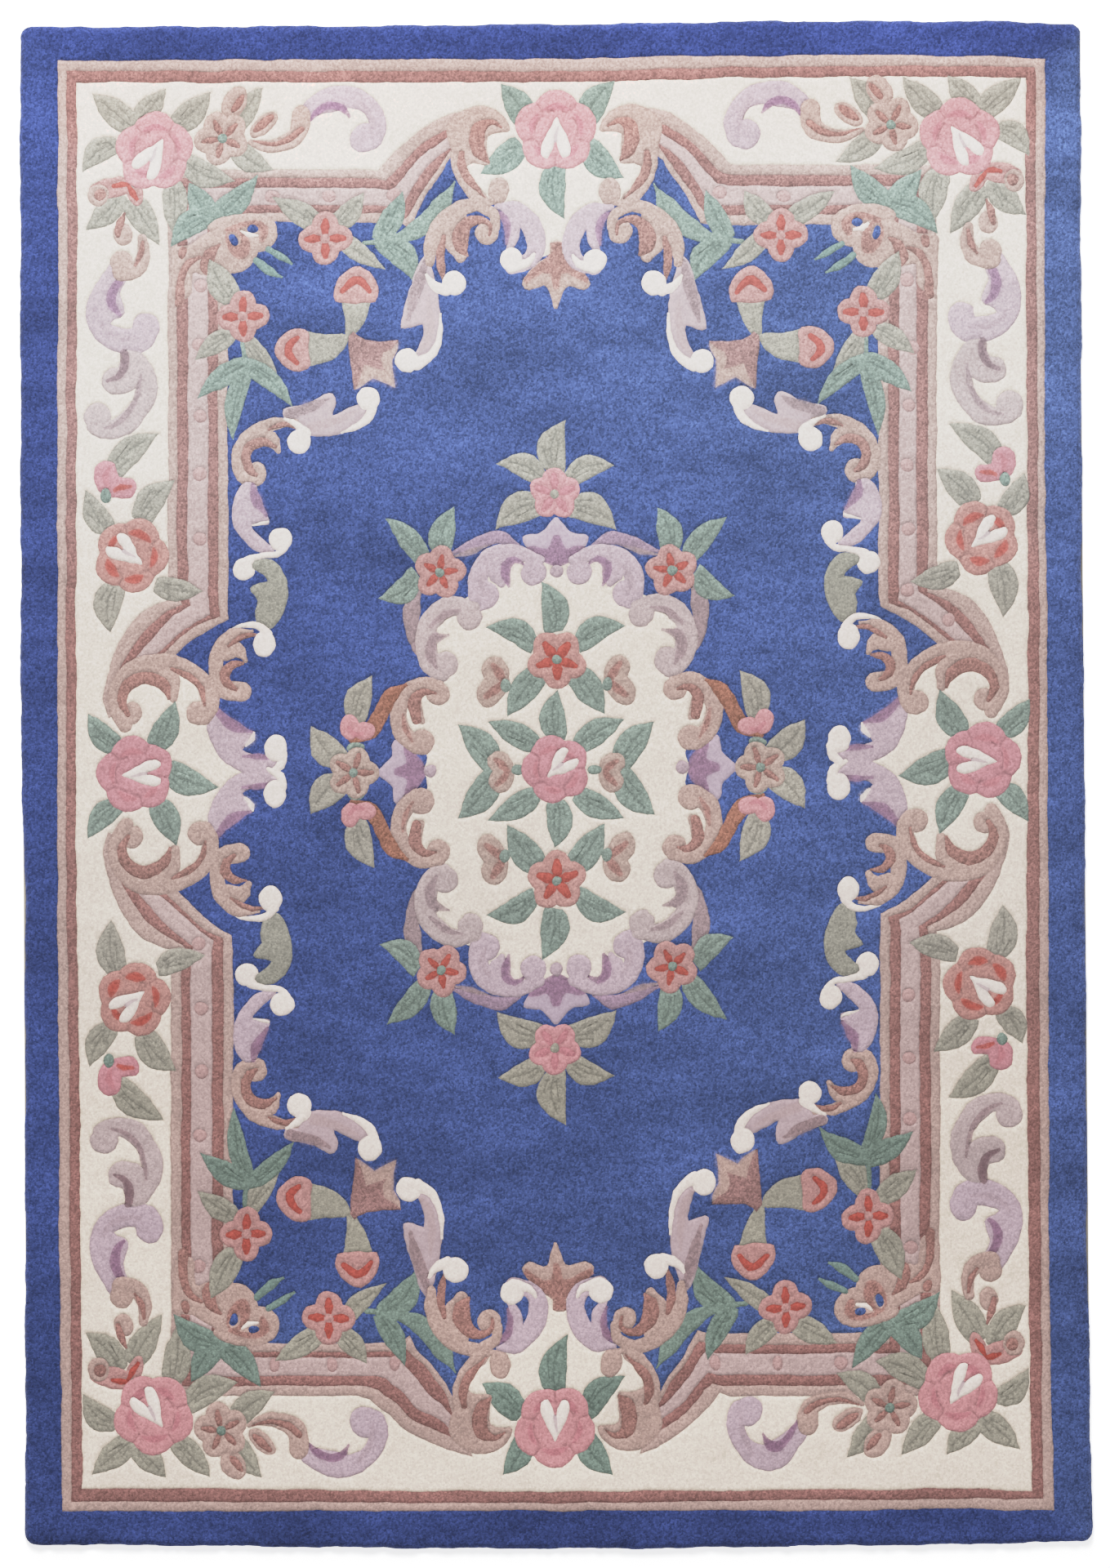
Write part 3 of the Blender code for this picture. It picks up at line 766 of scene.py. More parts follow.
def dots():
    """The ribbon's faint dots, as its four quarters have them."""
    for x, y in ((463, 665), (470, 576), (465, 500), (463, 421), (464, 338), (463, 257), (518, 218),
                 (-469, 657), (-471, 580), (-470, 486), (-470, 410), (-469, 325), (465, -277), (466, -360),
                 (466, -440), (468, -610), (-471, -210), (-468, -295), (-468, -378), (-470, -462),
                 (-472, -635), (-214, 779), (375, -763)):
        oval("dot", x, y, 9)
    for x, y in ((215, 781), (300, 777), (-299, 776), (-374, 775)):
        oval("dot", x, y, 9, 8)
    for x, y in ((210, -762), (291, -763), (-213, -763), (-295, -765), (-371, -765)):
        oval("dot", x, y, 7, 10)


def medallion_ground():
    """The medallion's ivory ground, one quarter of its line carried round to the other three."""
    quarter = ((0, 326), (24, 304), (62, 313), (96, 297), (108, 258), (136, 242), (168, 226), (178, 194),
               (164, 152), (196, 130), (208, 100), (194, 66), (172, 48), (174, 30), (178, 19.5))
    whole = [moved(p, 1, 1) for p in quarter] + [moved(p, 1, -1) for p in quarter[-2::-1]]
    whole += [moved(p, -1, -1) for p in quarter[1:]] + [moved(p, -1, 1) for p in quarter[-2:0:-1]]
    loop("ivory", *whole)


def top_rose():
    """The rose's leaves at the end of the field, and the rose."""
    leaf("jade", (38, 872), (77, 929), 36, 0.06)
    leaf("jade", (42, 846), (90, 800), 36, -0.08)
    leaf("jade", (2, 820), (11, 746), 36, -0.1)
    rose(0, 862, 55, 0, "pink", "deep_pink")


def top_rose_left():
    """Its two leaves on the left."""
    leaf("jade", (38, 872), (70, 926), 34, 0.06)
    leaf("jade", (44, 846), (96, 806), 38, -0.04)


def side_rose():
    """The rose at the middle of the side."""
    leaf("jade", (524, 38), (449, 12), 38, 0.06)
    rose(562, 32, 52, -92, "pink_mid", "deep_pink", spin=-10)


def spray_blossom():
    """The blossom over the medallion's end."""
    leaf("sage", (0, 412), (13, 482), 38, 0.12)
    blossom(-2, 384, 35, "pink", "rose_pink", 5, 90, eye="sage", inner=0.22, reach=0.72, wide=12)


def medallion_blossom():
    """The blossom inside the medallion, toward its end."""
    leaf("jade", (-2, 200), (-19, 268), 38, -0.08)
    blossom(1, 165, 40, "peach_pink", "coral", 5, 54, eye="jade", inner=0.06, reach=0.62, wide=15)


def wing_blossom():
    """The blossom beside the medallion."""
    blossom(270, 23, 35, "clay", "brown", 5, 180, eye="jade", inner=0.12, reach=0.72, wide=10)


def centre_rose():
    """The rug's middle: a rose, two leaves and a heart on either side."""
    leaf("jade", (0, 60), (2, 124), 36, 0.06)
    leaf("jade", (0, -20), (-2, -84), 36, 0.06)
    for side in (1, -1):
        loop("clay", *((side * x, y) for x, y in ((56, 20), (60, 34), (70, 43), (82, 43), (91, 34), (90, 24),
             (84, 17), (89, 8), (86, -4), (76, -11), (64, -8), (57, 4))))
        band("brown", [(side * x, y) for x, y in ((80, 32), (72, 26), (65, 18), (70, 8), (78, 0))],
             (6, 11, 8, 11, 6), edge="soft")
        oval("jade", side * 51, 20, 9, 7)
    rose(0, 21, 46, 132, "pink_mid", "deep_pink", spin=20)


def design():
    """The whole design, in the order a tufter fills it."""
    lay("ribbon_tan", framed(BLUE_TO_TAN))
    lay("rose", framed(TAN_TO_ROSE))
    lay("ivory", framed(ROSE_TO_IVORY))
    for side in QUARTERS:
        ribbon(side)
    dots()
    medallion_ground()
    tuft(lambda: palmette(0, 287, 0), *TOP_AND_BOTTOM)
    tuft(lambda: palmette(173, 23, -90), *BOTH_SIDES)
    for motif in (guard_side, guard_top, corner, top_flowers, tails, side_flowers, side_upper_scrolls):
        tuft(motif, *QUARTERS)
    tuft(crown, *TOP_AND_BOTTOM)
    tuft(top_rose_left, (-1, 1), (-1, -1))
    tuft(top_rose, *TOP_AND_BOTTOM)
    for motif in (top_scrolls, side_centre):
        tuft(motif, *QUARTERS)
    tuft(side_rose, *BOTH_SIDES)
    tuft(medallion_quarter, *QUARTERS)
    tuft(spray_blossom, *TOP_AND_BOTTOM)
    tuft(medallion_blossom, *TOP_AND_BOTTOM)
    tuft(wing_blossom, *BOTH_SIDES)
    tuft(centre_rose, (1, 1))


# ---------------------------------------------------------------- the slab's outline
def strayed(side, share):
    """How far a side stands out at a share of its length."""
    wobble = sum(size * math.sin(waves * 2 * math.pi * share) for waves, size in WOBBLE)
    return along(side, share) + wobble


def rim_loop(inset, step=9.0):
    """The outline moved in by inset, anticlockwise from the bottom left corner, as four sides."""
    half_w, half_l = WIDTH / 2 - inset, LENGTH / 2 - inset
    left = (-half_w - LEFT_SIDE[0][1], -half_w - LEFT_SIDE[-1][1])
    right = (half_w + RIGHT_SIDE[0][1], half_w + RIGHT_SIDE[-1][1])
    low = (-half_l - BOTTOM_SIDE[0][1], -half_l - BOTTOM_SIDE[-1][1])
    high = (half_l + TOP_SIDE[0][1], half_l + TOP_SIDE[-1][1])
    across, up = round(WIDTH / step), round(LENGTH / step)
    bottom = [(left[0] + (right[0] - left[0]) * i / across,
               -half_l - strayed(BOTTOM_SIDE, i / across)) for i in range(across)]
    east = [(half_w + strayed(RIGHT_SIDE, i / up), low[1] + (high[1] - low[1]) * i / up) for i in range(up)]
    top = [(left[1] + (right[1] - left[1]) * i / across,
            half_l + strayed(TOP_SIDE, i / across)) for i in range(across, 0, -1)]
    west = [(-half_w - strayed(LEFT_SIDE, i / up), low[0] + (high[0] - low[0]) * i / up)
            for i in range(up, 0, -1)]
    return bottom, east, top, west


def rounded(sides, radius, steps=5):
    """The four sides joined into one loop, each corner turned with an arc."""
    corners = [side[0] for side in sides]
    joined = []
    for i, side in enumerate(sides):
        corner, next_corner = corners[i], corners[(i + 1) % 4]
        start = toward(corner, sides[i - 1][-6], radius)
        end = toward(corner, side[6], radius)
        centre = (start[0] + end[0] - corner[0], start[1] + end[1] - corner[1])
        for k in range(steps + 1):
            turn = math.pi / 2 * k / steps
            joined.append(tuple(c + (a - c) * math.cos(turn) + (b - c) * math.sin(turn)
                                for a, b, c in zip(start, end, centre)))
        joined += [p for p in side if min(math.dist(p, corner), math.dist(p, next_corner)) > radius + 2]
    return joined


def toward(start, goal, length):
    """The point a length away from start on the way to goal."""
    share = length / math.dist(start, goal)
    return tuple(a + (b - a) * share for a, b in zip(start, goal))


def outline_middle():
    """The middle of the outline's extent, which is the model's origin."""
    outline = rounded(rim_loop(0), CORNER_RADIUS)
    return [(max(a) + min(a)) / 2 for a in zip(*outline)]


# ---------------------------------------------------------------- patches to pile
def counter_clockwise(outline):
    """The same outline, run anticlockwise."""
    total = sum(a[0] * b[1] - b[0] * a[1] for a, b in zip(outline, outline[1:] + outline[:1]))
    return outline if total > 0 else outline[::-1]


def hand_cut(outline, sway=0.45):
    """The same outline as a hand cuts it, a fraction of a millimetre out here and there."""
    return [(x + sway * noise.noise((x * 0.11, y * 0.11, 3.0)) * 2,
             y + sway * noise.noise((x * 0.11, y * 0.11, 9.0)) * 2) for x, y in outline]


def patchwork(rim):
    """Every patch laid in order, as flat faces: (points, faces, which patch shows on each)."""
    points, loops = [], []
    for outline in [rim] + [hand_cut(o) for _, o, _ in PATCHES]:
        outline = counter_clockwise(outline)
        loops.append(list(range(len(points), len(points) + len(outline))))
        points += [Vector(p) for p in outline]
    made, _, faces, _, _, from_faces = geometry.delaunay_2d_cdt(points, [], loops, 1, 0.02, True)
    shows = [max(f, default=-1) for f in from_faces]
    return made, [f for f, s in zip(faces, shows) if s >= 0], [s for s in shows if s >= 0]


def shorn_lines(points, faces, shows):
    """The edges where two yarns meet: (start, end, cut or not)."""
    sides = {}
    for face, patch in zip(faces, shows):
        for a, b in zip(face, face[1:] + face[:1]):
            sides.setdefault((min(a, b), max(a, b)), []).append(patch)
    lines = []
    for (a, b), patches in sides.items():
        if len(patches) == 1:
            lines.append((a, b, False))
        elif yarn_of(patches[0]) != yarn_of(patches[1]):
            top = max(patches)
            lines.append((a, b, top == 0 or PATCHES[top - 1][2] == "cut"))
    return lines


def yarn_of(patch):
    """The yarn of a patch by its place in the patchwork, where 0 is the blue ground."""
    return PATCHES[patch - 1][0] if patch else "blue"


def split_long(points, lines, longest=4.6):
    """Lines cut into short runs, as (points, runs)."""
    made, index, runs = [], {}, []

    def place(p):
        key = (round(p[0], 3), round(p[1], 3))
        if key not in index:
            index[key] = len(made)
            made.append((p[0], p[1]))
        return index[key]

    for a, b, cut in lines:
        p, q = points[a], points[b]
        count = max(1, math.ceil((q - p).length / longest))
        stops = [place(p + (q - p) * (k / count)) for k in range(count + 1)]
        runs += [(s, t, cut) for s, t in zip(stops, stops[1:]) if s != t]
    return made, runs


def vein_runs(tree, made, runs):
    """Adds the carved veins that show, and says which points are on one."""
    on_vein = set()
    for leaf_at, line in VEINS:
        for p, q in zip(line, line[1:]):
            middle = ((p[0] + q[0]) / 2, (p[1] + q[1]) / 2)
            if all(patch_at(tree, s) == leaf_at + 1 for s in (p, middle, q)):
                first = len(made)
                made += [p, q]
                runs.append((first, first + 1, None))
                on_vein |= {first, first + 1}
    return on_vein


def patch_at(tree, spot):
    """Which patch shows at a spot, or -1 outside the rug."""
    hit = tree[0].ray_cast(Vector((spot[0], spot[1], 10.0)), Vector((0, 0, -1)))
    return tree[1][hit[2]] if hit[2] is not None else -1


def pile_points(made, runs):
    """Points beside each shorn line and scattered over the rest, as a jittered grid."""
    near = kdtree.KDTree(len(made))
    for i, (x, y) in enumerate(made):
        near.insert((x, y, 0), i)
    near.balance()
    beside = []
    for s, t, cut in runs:
        (ax, ay), (bx, by) = made[s], made[t]
        long = math.dist((ax, ay), (bx, by))
        if cut is False or long < 1.2:
            continue
        off = SHEAR_HALF if cut else SHEAR_HALF * 0.8
        nx, ny = -(by - ay) / long * off, (bx - ax) / long * off
        mx, my = (ax + bx) / 2, (ay + by) / 2
        for spot in ((mx + nx, my + ny), (mx - nx, my - ny)):
            if near.find((spot[0], spot[1], 0))[2] > off * 0.86:
                beside.append(spot)
    kept = thinned(beside, SHEAR_HALF * 0.8)
    taken = kdtree.KDTree(len(made) + len(kept))
    for i, (x, y) in enumerate(made + kept):
        taken.insert((x, y, 0), i)
    taken.balance()
    rows = math.ceil(LENGTH / (TUFT_STEP * ROW_SHARE)) + 4
    columns = math.ceil(WIDTH / TUFT_STEP) + 6
    for row in range(rows):
        y = -LENGTH / 2 - 6 + row * TUFT_STEP * ROW_SHARE
        for column in range(columns):
            x = -WIDTH / 2 - 8 + (column + 0.5 * (row % 2)) * TUFT_STEP
            spot = strayed_spot(x, y, TUFT_STRAY)
            if taken.find((spot[0], spot[1], 0))[2] > TUFT_STEP * 0.68:
                kept.append(spot)
    return kept


def strayed_spot(x, y, stray):
    """The spot moved at random by up to stray each way."""
    return x + random.uniform(-stray, stray), y + random.uniform(-stray, stray)


def thinned(spots, apart):
    """Spots with none closer than apart to one already kept."""
    cells, kept = {}, []
    for x, y in spots:
        cell = (int(x // apart), int(y // apart))
        close = any(math.dist(other, (x, y)) < apart
                    for i in (-1, 0, 1) for j in (-1, 0, 1)
                    for other in cells.get((cell[0] + i, cell[1] + j), ()))
        if not close:
            cells.setdefault(cell, []).append((x, y))
            kept.append((x, y))
    return kept


def rim_distance(rim):
    """A tree of points along the rim, to ask how far off it is."""
    tree = kdtree.KDTree(len(rim) * 6)
    count = 0
    for (ax, ay), (bx, by) in zip(rim, rim[1:] + rim[:1]):
        for k in range(6):
            tree.insert((ax + (bx - ax) * k / 6, ay + (by - ay) * k / 6, 0), count)
            count += 1
    tree.balance()
    return tree


def inside_rim(tree, spots):
    """The spots that lie inside the rim by 1.5 mm or more."""
    edge_x = WIDTH / 2 - 25
    edge_y = LENGTH / 2 - 25
    kept = []
    for x, y in spots:
        if abs(x) < edge_x and abs(y) < edge_y:
            kept.append((x, y))
            continue
        at, _, gap = tree.find((x, y, 0))
        outward = abs(x) > abs(at[0]) + 0.01 or abs(y) > abs(at[1]) + 0.01
        if gap > 1.5 and not outward:
            kept.append((x, y))
    return kept


def height_of(x, y, sunk, to_rim):
    """The pile's height: rounded over at the rim, sunk where it is shorn, and never quite level."""
    lie = 0.5 * noise.noise((x * 0.012, y * 0.012, 1.0)) + 0.15 * noise.noise((x * 0.22, y * 0.22, 5.0))
    z = THICKNESS + lie - sunk
    if to_rim < RIM_ROUND:
        over = RIM_ROUND - to_rim
        z -= RIM_ROUND - math.sqrt(max(RIM_ROUND ** 2 - over ** 2, 0.0))
    return z


def pile():
    """The pile's top in millimetres: points, heights, faces, each face's yarn and each point's kind."""
    middle = outline_middle()
    rim = [(x - middle[0], y - middle[1]) for x, y in rounded(rim_loop(0, 5.0), CORNER_RADIUS)]
    rim = [strayed_spot(x, y, RIM_STRAY) for x, y in rim]
    flat, faces, shows = patchwork(rim)
    tree = (BVHTree.FromPolygons([(p[0], p[1], 0) for p in flat], faces), shows)
    made, runs = split_long(flat, shorn_lines(flat, faces, shows))
    on_vein = vein_runs(tree, made, runs)
    to_rim = rim_distance(rim)
    extra = inside_rim(to_rim, pile_points(made, runs))
    spots = [Vector(p) for p in made + extra]
    top, _, cells, from_spots, _, _ = geometry.delaunay_2d_cdt(
        spots, [(s, t) for s, t, _ in runs], [], 0, 0.01, True)
    kinds = edge_kinds(made, runs, on_vein)
    kept, yarns = [], []
    for cell in cells:
        cx = sum(top[i][0] for i in cell) / 3
        cy = sum(top[i][1] for i in cell) / 3
        patch = patch_at(tree, (cx, cy))
        if patch >= 0:
            kept.append(cell)
            yarns.append(yarn_of(patch))
    kind = [max((kinds.get(s, 0) for s in sources), default=0) for sources in from_spots]
    depth = {0: 0.0, 1: 0.0, 2: SHEAR_DEPTH, 3: VEIN_DEPTH}
    gaps = [to_rim.find((p[0], p[1], 0))[2] for p in top]
    heights = [height_of(p[0], p[1], depth[k], gap) for p, k, gap in zip(top, kind, gaps)]
    return [wavered(p[0], p[1], gap) for p, gap in zip(top, gaps)], heights, kept, yarns, kind, rim


def wavered(x, y, gap):
    """Where a tuft really stands: rows and outlines waver by a millimetre or so, but not at the rim."""
    slow = noise.noise_vector(Vector((x / WAVER_LONG, y / WAVER_LONG, 7.0)))
    quick = noise.noise_vector(Vector((x / WAVER_SHORT, y / WAVER_SHORT, 3.0)))
    share = min(max((gap - 8.0) / 12.0, 0.0), 1.0)
    return (x + share * (WAVER[0] * slow[0] + WAVER[1] * quick[0]),
            y + share * (WAVER[0] * slow[1] + WAVER[1] * quick[1]))


def edge_kinds(made, runs, on_vein):
    """For each point on a line: 1 where two yarns meet softly, 2 where the shears cut, 3 on a vein."""
    kinds = {i: 3 for i in on_vein}
    for s, t, cut in runs:
        if cut is not None:
            for i in (s, t):
                kinds[i] = max(kinds.get(i, 0), 2 if cut else 1)
    return kinds


# ---------------------------------------------------------------- pieces
def linear(channel):
    """A channel from 0 to 255 as linear light."""
    c = channel / 255.0
    return c / 12.92 if c <= 0.04045 else ((c + 0.055) / 1.055) ** 2.4


DYES = {name: tuple(linear(c) for c in rgb) for name, (_, rgb) in YARNS.items()}
BORDER_X, BORDER_Y = 630.0, 930.0   # inside these the blue is the field's, outside them the border's
UV_MARGIN = 24.0                    # the flat map is this much wider and longer than the rug
SOFT_SHARE = 0.45                   # how much of its neighbours' dye a yarn takes where two meet softly
SHORN_PAINTED_SHADE, VEIN_PAINTED_SHADE = 0.84, 0.66   # painted shade: how much darker the dye is painted down a shorn line and down a vein


def eased_step(value, low, high):
    """0 below low, 1 above high, and smooth between them."""
    t = np.clip((value - low) / (high - low), 0.0, 1.0)
    return t * t * (3 - 2 * t)


# Painted light along the rug's length: how much lighter or darker the dyes are painted as light falls on the
# leaning pile, a painted sheen on its tips in the far half, and the near half painted richer and tinted.
PAINTED_LIGHT_AT = (-900.0, -750.0, -600.0, -375.0, -150.0, 250.0, 850.0)
PAINTED_LIGHT_ALONG = (1.08, 1.08, 1.0, 0.94, 0.98, 0.98, 1.08)
PAINTED_SHEEN = (0.018, 0.032, 0.035)
MIDDLE_TONE = 0.3
NEAR_PAINTED_RICHNESS = 0.12
NEAR_PAINTED_TINT = {"jade": (0.85, 0.89, 0.87), "sage": (0.98, 0.98, 0.95), "purple": (0.98, 0.95, 0.94)}


def with_painted_light(colours, y):
    """The dyes with painted light: lighter or darker along the length, a painted sheen in the far half,
    painted richer in the near half.
    """
    far = eased_step(y, 150.0, 450.0) * (1.0 - eased_step(y, 800.0, 900.0))
    near = eased_step(-y, 150.0, 450.0)
    light = np.interp(y, PAINTED_LIGHT_AT, PAINTED_LIGHT_ALONG)
    shown = colours * light[..., None] + far[..., None] * np.array(PAINTED_SHEEN)
    return shown * (shown / MIDDLE_TONE) ** (NEAR_PAINTED_RICHNESS * near[..., None])


def painted_light_on_blue(points):
    """Painted light and shade on the blue ground at each point: the field and each of the four border sides
    painted lighter or darker as their leaning pile catches the light, and lighter toward the far end.
    """
    x, y = points[:, 0], points[:, 1]
    far = eased_step(y, 150.0, 600.0)
    field = 1.0 + 0.12 * x / 360.0 + 0.2 * far + 0.25 * eased_step(-y, 620.0, 780.0)
    gaps = np.stack([x + WIDTH / 2, WIDTH / 2 - x, LENGTH / 2 - y, y + LENGTH / 2])
    sides = np.stack([0.74 + 0.0 * x, 1.08 + 0.27 * far, 0.62 + 0.0 * x, 0.7 + 0.0 * x])
    pull = 1.0 / (np.maximum(gaps, 0.0) + 12.0) ** 3
    border = (sides * pull).sum(axis=0) / pull.sum(axis=0)
    inside = (np.abs(x) < BORDER_X) & (np.abs(y) < BORDER_Y)
    light = np.where(inside, field, border)
    painted_light_rise = np.interp(y, (250.0, 850.0), (0.98, 1.08))
    return np.stack([light, light, light ** 0.5], axis=1) * painted_light_rise[:, None]


def corner_colours(faces, yarns, kind, points):
    """Each corner's dye: its yarn's own, mixed where two yarns meet softly, with painted shade down a shorn
    line and a vein, and painted light and shade along the rug.
    """
    count = len(points)
    own = np.array([DYES[y] for y in yarns])
    flat = np.array(faces)
    total = np.zeros((count, 3))
    weight = np.zeros(count)
    for k in range(3):
        np.add.at(total, flat[:, k], own)
        np.add.at(weight, flat[:, k], 1.0)
    mixed = total / np.maximum(weight, 1)[:, None]
    kinds = np.array(kind)
    colours = np.repeat(own[:, None, :], 3, axis=1)
    at = kinds[flat]
    colours = np.where((at == 1)[..., None], SOFT_SHARE * mixed[flat] + (1 - SOFT_SHARE) * colours, colours)
    # painted shade down shorn lines and veins, where the groove's own shade falls
    colours = np.where((at == 2)[..., None], colours * SHORN_PAINTED_SHADE, colours)
    colours = np.where((at == 3)[..., None], colours * VEIN_PAINTED_SHADE, colours)
    blue = np.array([y == "blue" for y in yarns])
    # painted light and shade on the blue ground
    ground = colours * painted_light_on_blue(points)[flat]
    # the other yarns get painted light along the length, a painted sheen in the far half and a painted tint
    # in the near half
    near = eased_step(-points[:, 1], 150.0, 450.0)[flat][..., None]
    tint = np.array([NEAR_PAINTED_TINT.get(YARNS[y][0], (1.0, 1.0, 1.0)) for y in yarns])[:, None, :]
    design = with_painted_light(colours, points[:, 1][flat]) * (1.0 + near * (tint - 1.0))
    return np.where(blue[:, None, None], ground, design)


def piece(name, material, points, faces, colours):
    """One mesh object of triangles, in metres, with its dyes and a flat map of the whole rug."""
    used, back = np.unique(faces, return_inverse=True)
    mesh = bpy.data.meshes.new(name)
    mesh.vertices.add(len(used))
    mesh.vertices.foreach_set("co", (points[used] * 0.001).astype(np.float32).ravel())
    mesh.loops.add(faces.size)
    mesh.loops.foreach_set("vertex_index", back.reshape(-1).astype(np.int32))
    mesh.polygons.add(len(faces))
    mesh.polygons.foreach_set("loop_start", np.arange(0, faces.size, 3, dtype=np.int32))
    mesh.polygons.foreach_set("use_smooth", np.ones(len(faces), dtype=bool))
    mesh.update()
    dye = mesh.color_attributes.new("Dye", "FLOAT_COLOR", "CORNER")
    dye.data.foreach_set("color", np.concatenate(
        [colours.reshape(-1, 3), np.ones((faces.size, 1))], axis=1).astype(np.float32).ravel())
    corners = points[faces.ravel()]
    uv = mesh.uv_layers.new(name="OFBake")
    across = corners[:, 0] / (WIDTH + UV_MARGIN) + 0.5
    up = corners[:, 1] / (LENGTH + UV_MARGIN) + 0.5
    uv.data.foreach_set("uv", np.stack([across, up], axis=1).astype(np.float32).ravel())
    mesh.validate()
    mesh.materials.append(material)
    made = bpy.data.objects.new(name, mesh)
    bpy.context.scene.collection.objects.link(made)
    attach(made, "root")
    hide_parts("rug")
    return made


def rim_wall(rim, to_z):
    """The pile's side below the rounded rim, down to the hem: points and faces."""
    levels = ((0.0, to_z), (-0.4, 4.2), (0.4, 2.2), (HEM_TUCK, 0.25))
    middle_out = []
    count = len(rim)
    for inset, z in levels:
        for i, (x, y) in enumerate(rim):
            ax, ay = rim[i - 1]
            bx, by = rim[(i + 1) % count]
            long = math.dist((ax, ay), (bx, by))
            middle_out.append((x - (by - ay) / long * inset, y + (bx - ax) / long * inset, z))
    faces = []
    for level in range(len(levels) - 1):
        for i in range(count):
            a, b = level * count + i, level * count + (i + 1) % count
            c, d = b + count, a + count
            faces += [(a, d, c), (a, c, b)]
    return np.array(middle_out), np.array(faces)


def build_pile():
    """The pile parted by yarn, a piece each, with the rim's side on the blue one."""
    top, heights, faces, yarns, kind, rim = pile()
    points = np.array([(p[0], p[1], z) for p, z in zip(top, heights)])
    faces_all = np.array(faces)
    colours = corner_colours(faces, yarns, kind, points)
    families = np.array([YARNS[y][0] for y in yarns])
    made = []
    for family in sorted(set(families)):
        mine = families == family
        piece_points, piece_faces, piece_colours = points, faces_all[mine], colours[mine]
        if family == "blue":
            side_points, side_faces = rim_wall(rim, THICKNESS - RIM_ROUND)
            piece_faces = np.concatenate([piece_faces, side_faces + len(points)])
            piece_points = np.concatenate([points, side_points])
            # the rim's side gets the same painted light and shade as the blue ground
            blue = np.array(DYES["blue"]) * painted_light_on_blue(side_points)[side_faces]
            piece_colours = np.concatenate([piece_colours, blue])
        made.append(piece(f"pile_{family}", wool(family), piece_points, piece_faces, piece_colours))
    return made, rim


def build_backing(rim):
    """The cloth that the pile is tufted into, seen only from below."""
    count = len(rim)
    inner = []
    for i, (x, y) in enumerate(rim):
        ax, ay = rim[i - 1]
        bx, by = rim[(i + 1) % count]
        long = math.dist((ax, ay), (bx, by))
        inner.append((x - (by - ay) / long * HEM_TUCK, y + (bx - ax) / long * HEM_TUCK))
    spots = [Vector(p) for p in inner]
    top, _, cells, _, _, _ = geometry.delaunay_2d_cdt(spots, [], [list(range(count))], 1, 0.01, True)
    points = np.array([(p[0], p[1], 0.2) for p in top])
    faces = np.array(cells)[:, ::-1]
    colours = np.broadcast_to(np.array(DYES["backing"]), (len(faces), 3, 3))
    made = piece("backing", canvas(), points, faces, colours)
    return made


# ---------------------------------------------------------------- materials
# How far the tufts of a yarn differ one by one, how far its slow patches do, and how rough its pile looks.
LOOKS = {
    "blue": (0.38, 0.45, 0.5),
    "ivory": (0.13, 0.1, 0.15),
    "tan": (0.2, 0.16, 0.3),
    "rose": (0.3, 0.25, 0.45),
    "lilac": (0.16, 0.13, 0.25),
    "purple": (0.2, 0.15, 0.3),
    "white": (0.09, 0.07, 0.12),
    "sage": (0.2, 0.17, 0.35),
    "jade": (0.24, 0.2, 0.4),
    "pink": (0.17, 0.13, 0.25),
    "coral": (0.2, 0.15, 0.3),
}
TUFTS_PER_METRE = 440.0


def node(tree, kind, **values):
    """A new node. A value named in_Some_Socket goes to that socket, and any other is a setting."""
    made = tree.nodes.new(kind)
    for name, value in values.items():
        if name.startswith("in_"):
            made.inputs[name[3:].replace("_", " ")].default_value = value
        else:
            setattr(made, name, value)
    return made


def varied(tree, coordinates, fleck, patchy):
    """A factor near 1: tufts lighter and darker one by one, patches where the pile leans, streaks across."""
    cells = node(tree, "ShaderNodeTexVoronoi", in_Scale=TUFTS_PER_METRE)
    tree.links.new(coordinates, cells.inputs["Vector"])
    tuft_grey = node(tree, "ShaderNodeSeparateColor")
    tree.links.new(cells.outputs["Color"], tuft_grey.inputs["Color"])
    factor = ranged(tree, tuft_grey.outputs["Red"], 1 - fleck, 1 + fleck)
    for scale, stretch, amount in ((230.0, (1.5, 0.8, 1.0), fleck * 1.4),
                                   (55.0, (0.7, 1.2, 1.0), patchy * 0.7),
                                   (15.0, (0.35, 1.0, 1.0), patchy * 1.2)):
        placed = node(tree, "ShaderNodeMapping", in_Scale=stretch)
        tree.links.new(coordinates, placed.inputs["Vector"])
        cloud = node(tree, "ShaderNodeTexNoise", in_Scale=scale, in_Detail=2.0)
        tree.links.new(placed.outputs["Vector"], cloud.inputs["Vector"])
        factor = times(tree, factor, ranged(tree, cloud.outputs["Fac"], 1 - amount, 1 + amount))
    return factor, cells


def ranged(tree, value, low, high):
    """A value from 0 to 1 carried to low to high."""
    made = node(tree, "ShaderNodeMapRange", in_To_Min=low, in_To_Max=high)
    tree.links.new(value, made.inputs["Value"])
    return made.outputs["Result"]


def times(tree, a, b):
    """The product of two values."""
    made = node(tree, "ShaderNodeMath", operation="MULTIPLY")
    tree.links.new(a, made.inputs[0])
    tree.links.new(b, made.inputs[1])
    return made.outputs[0]


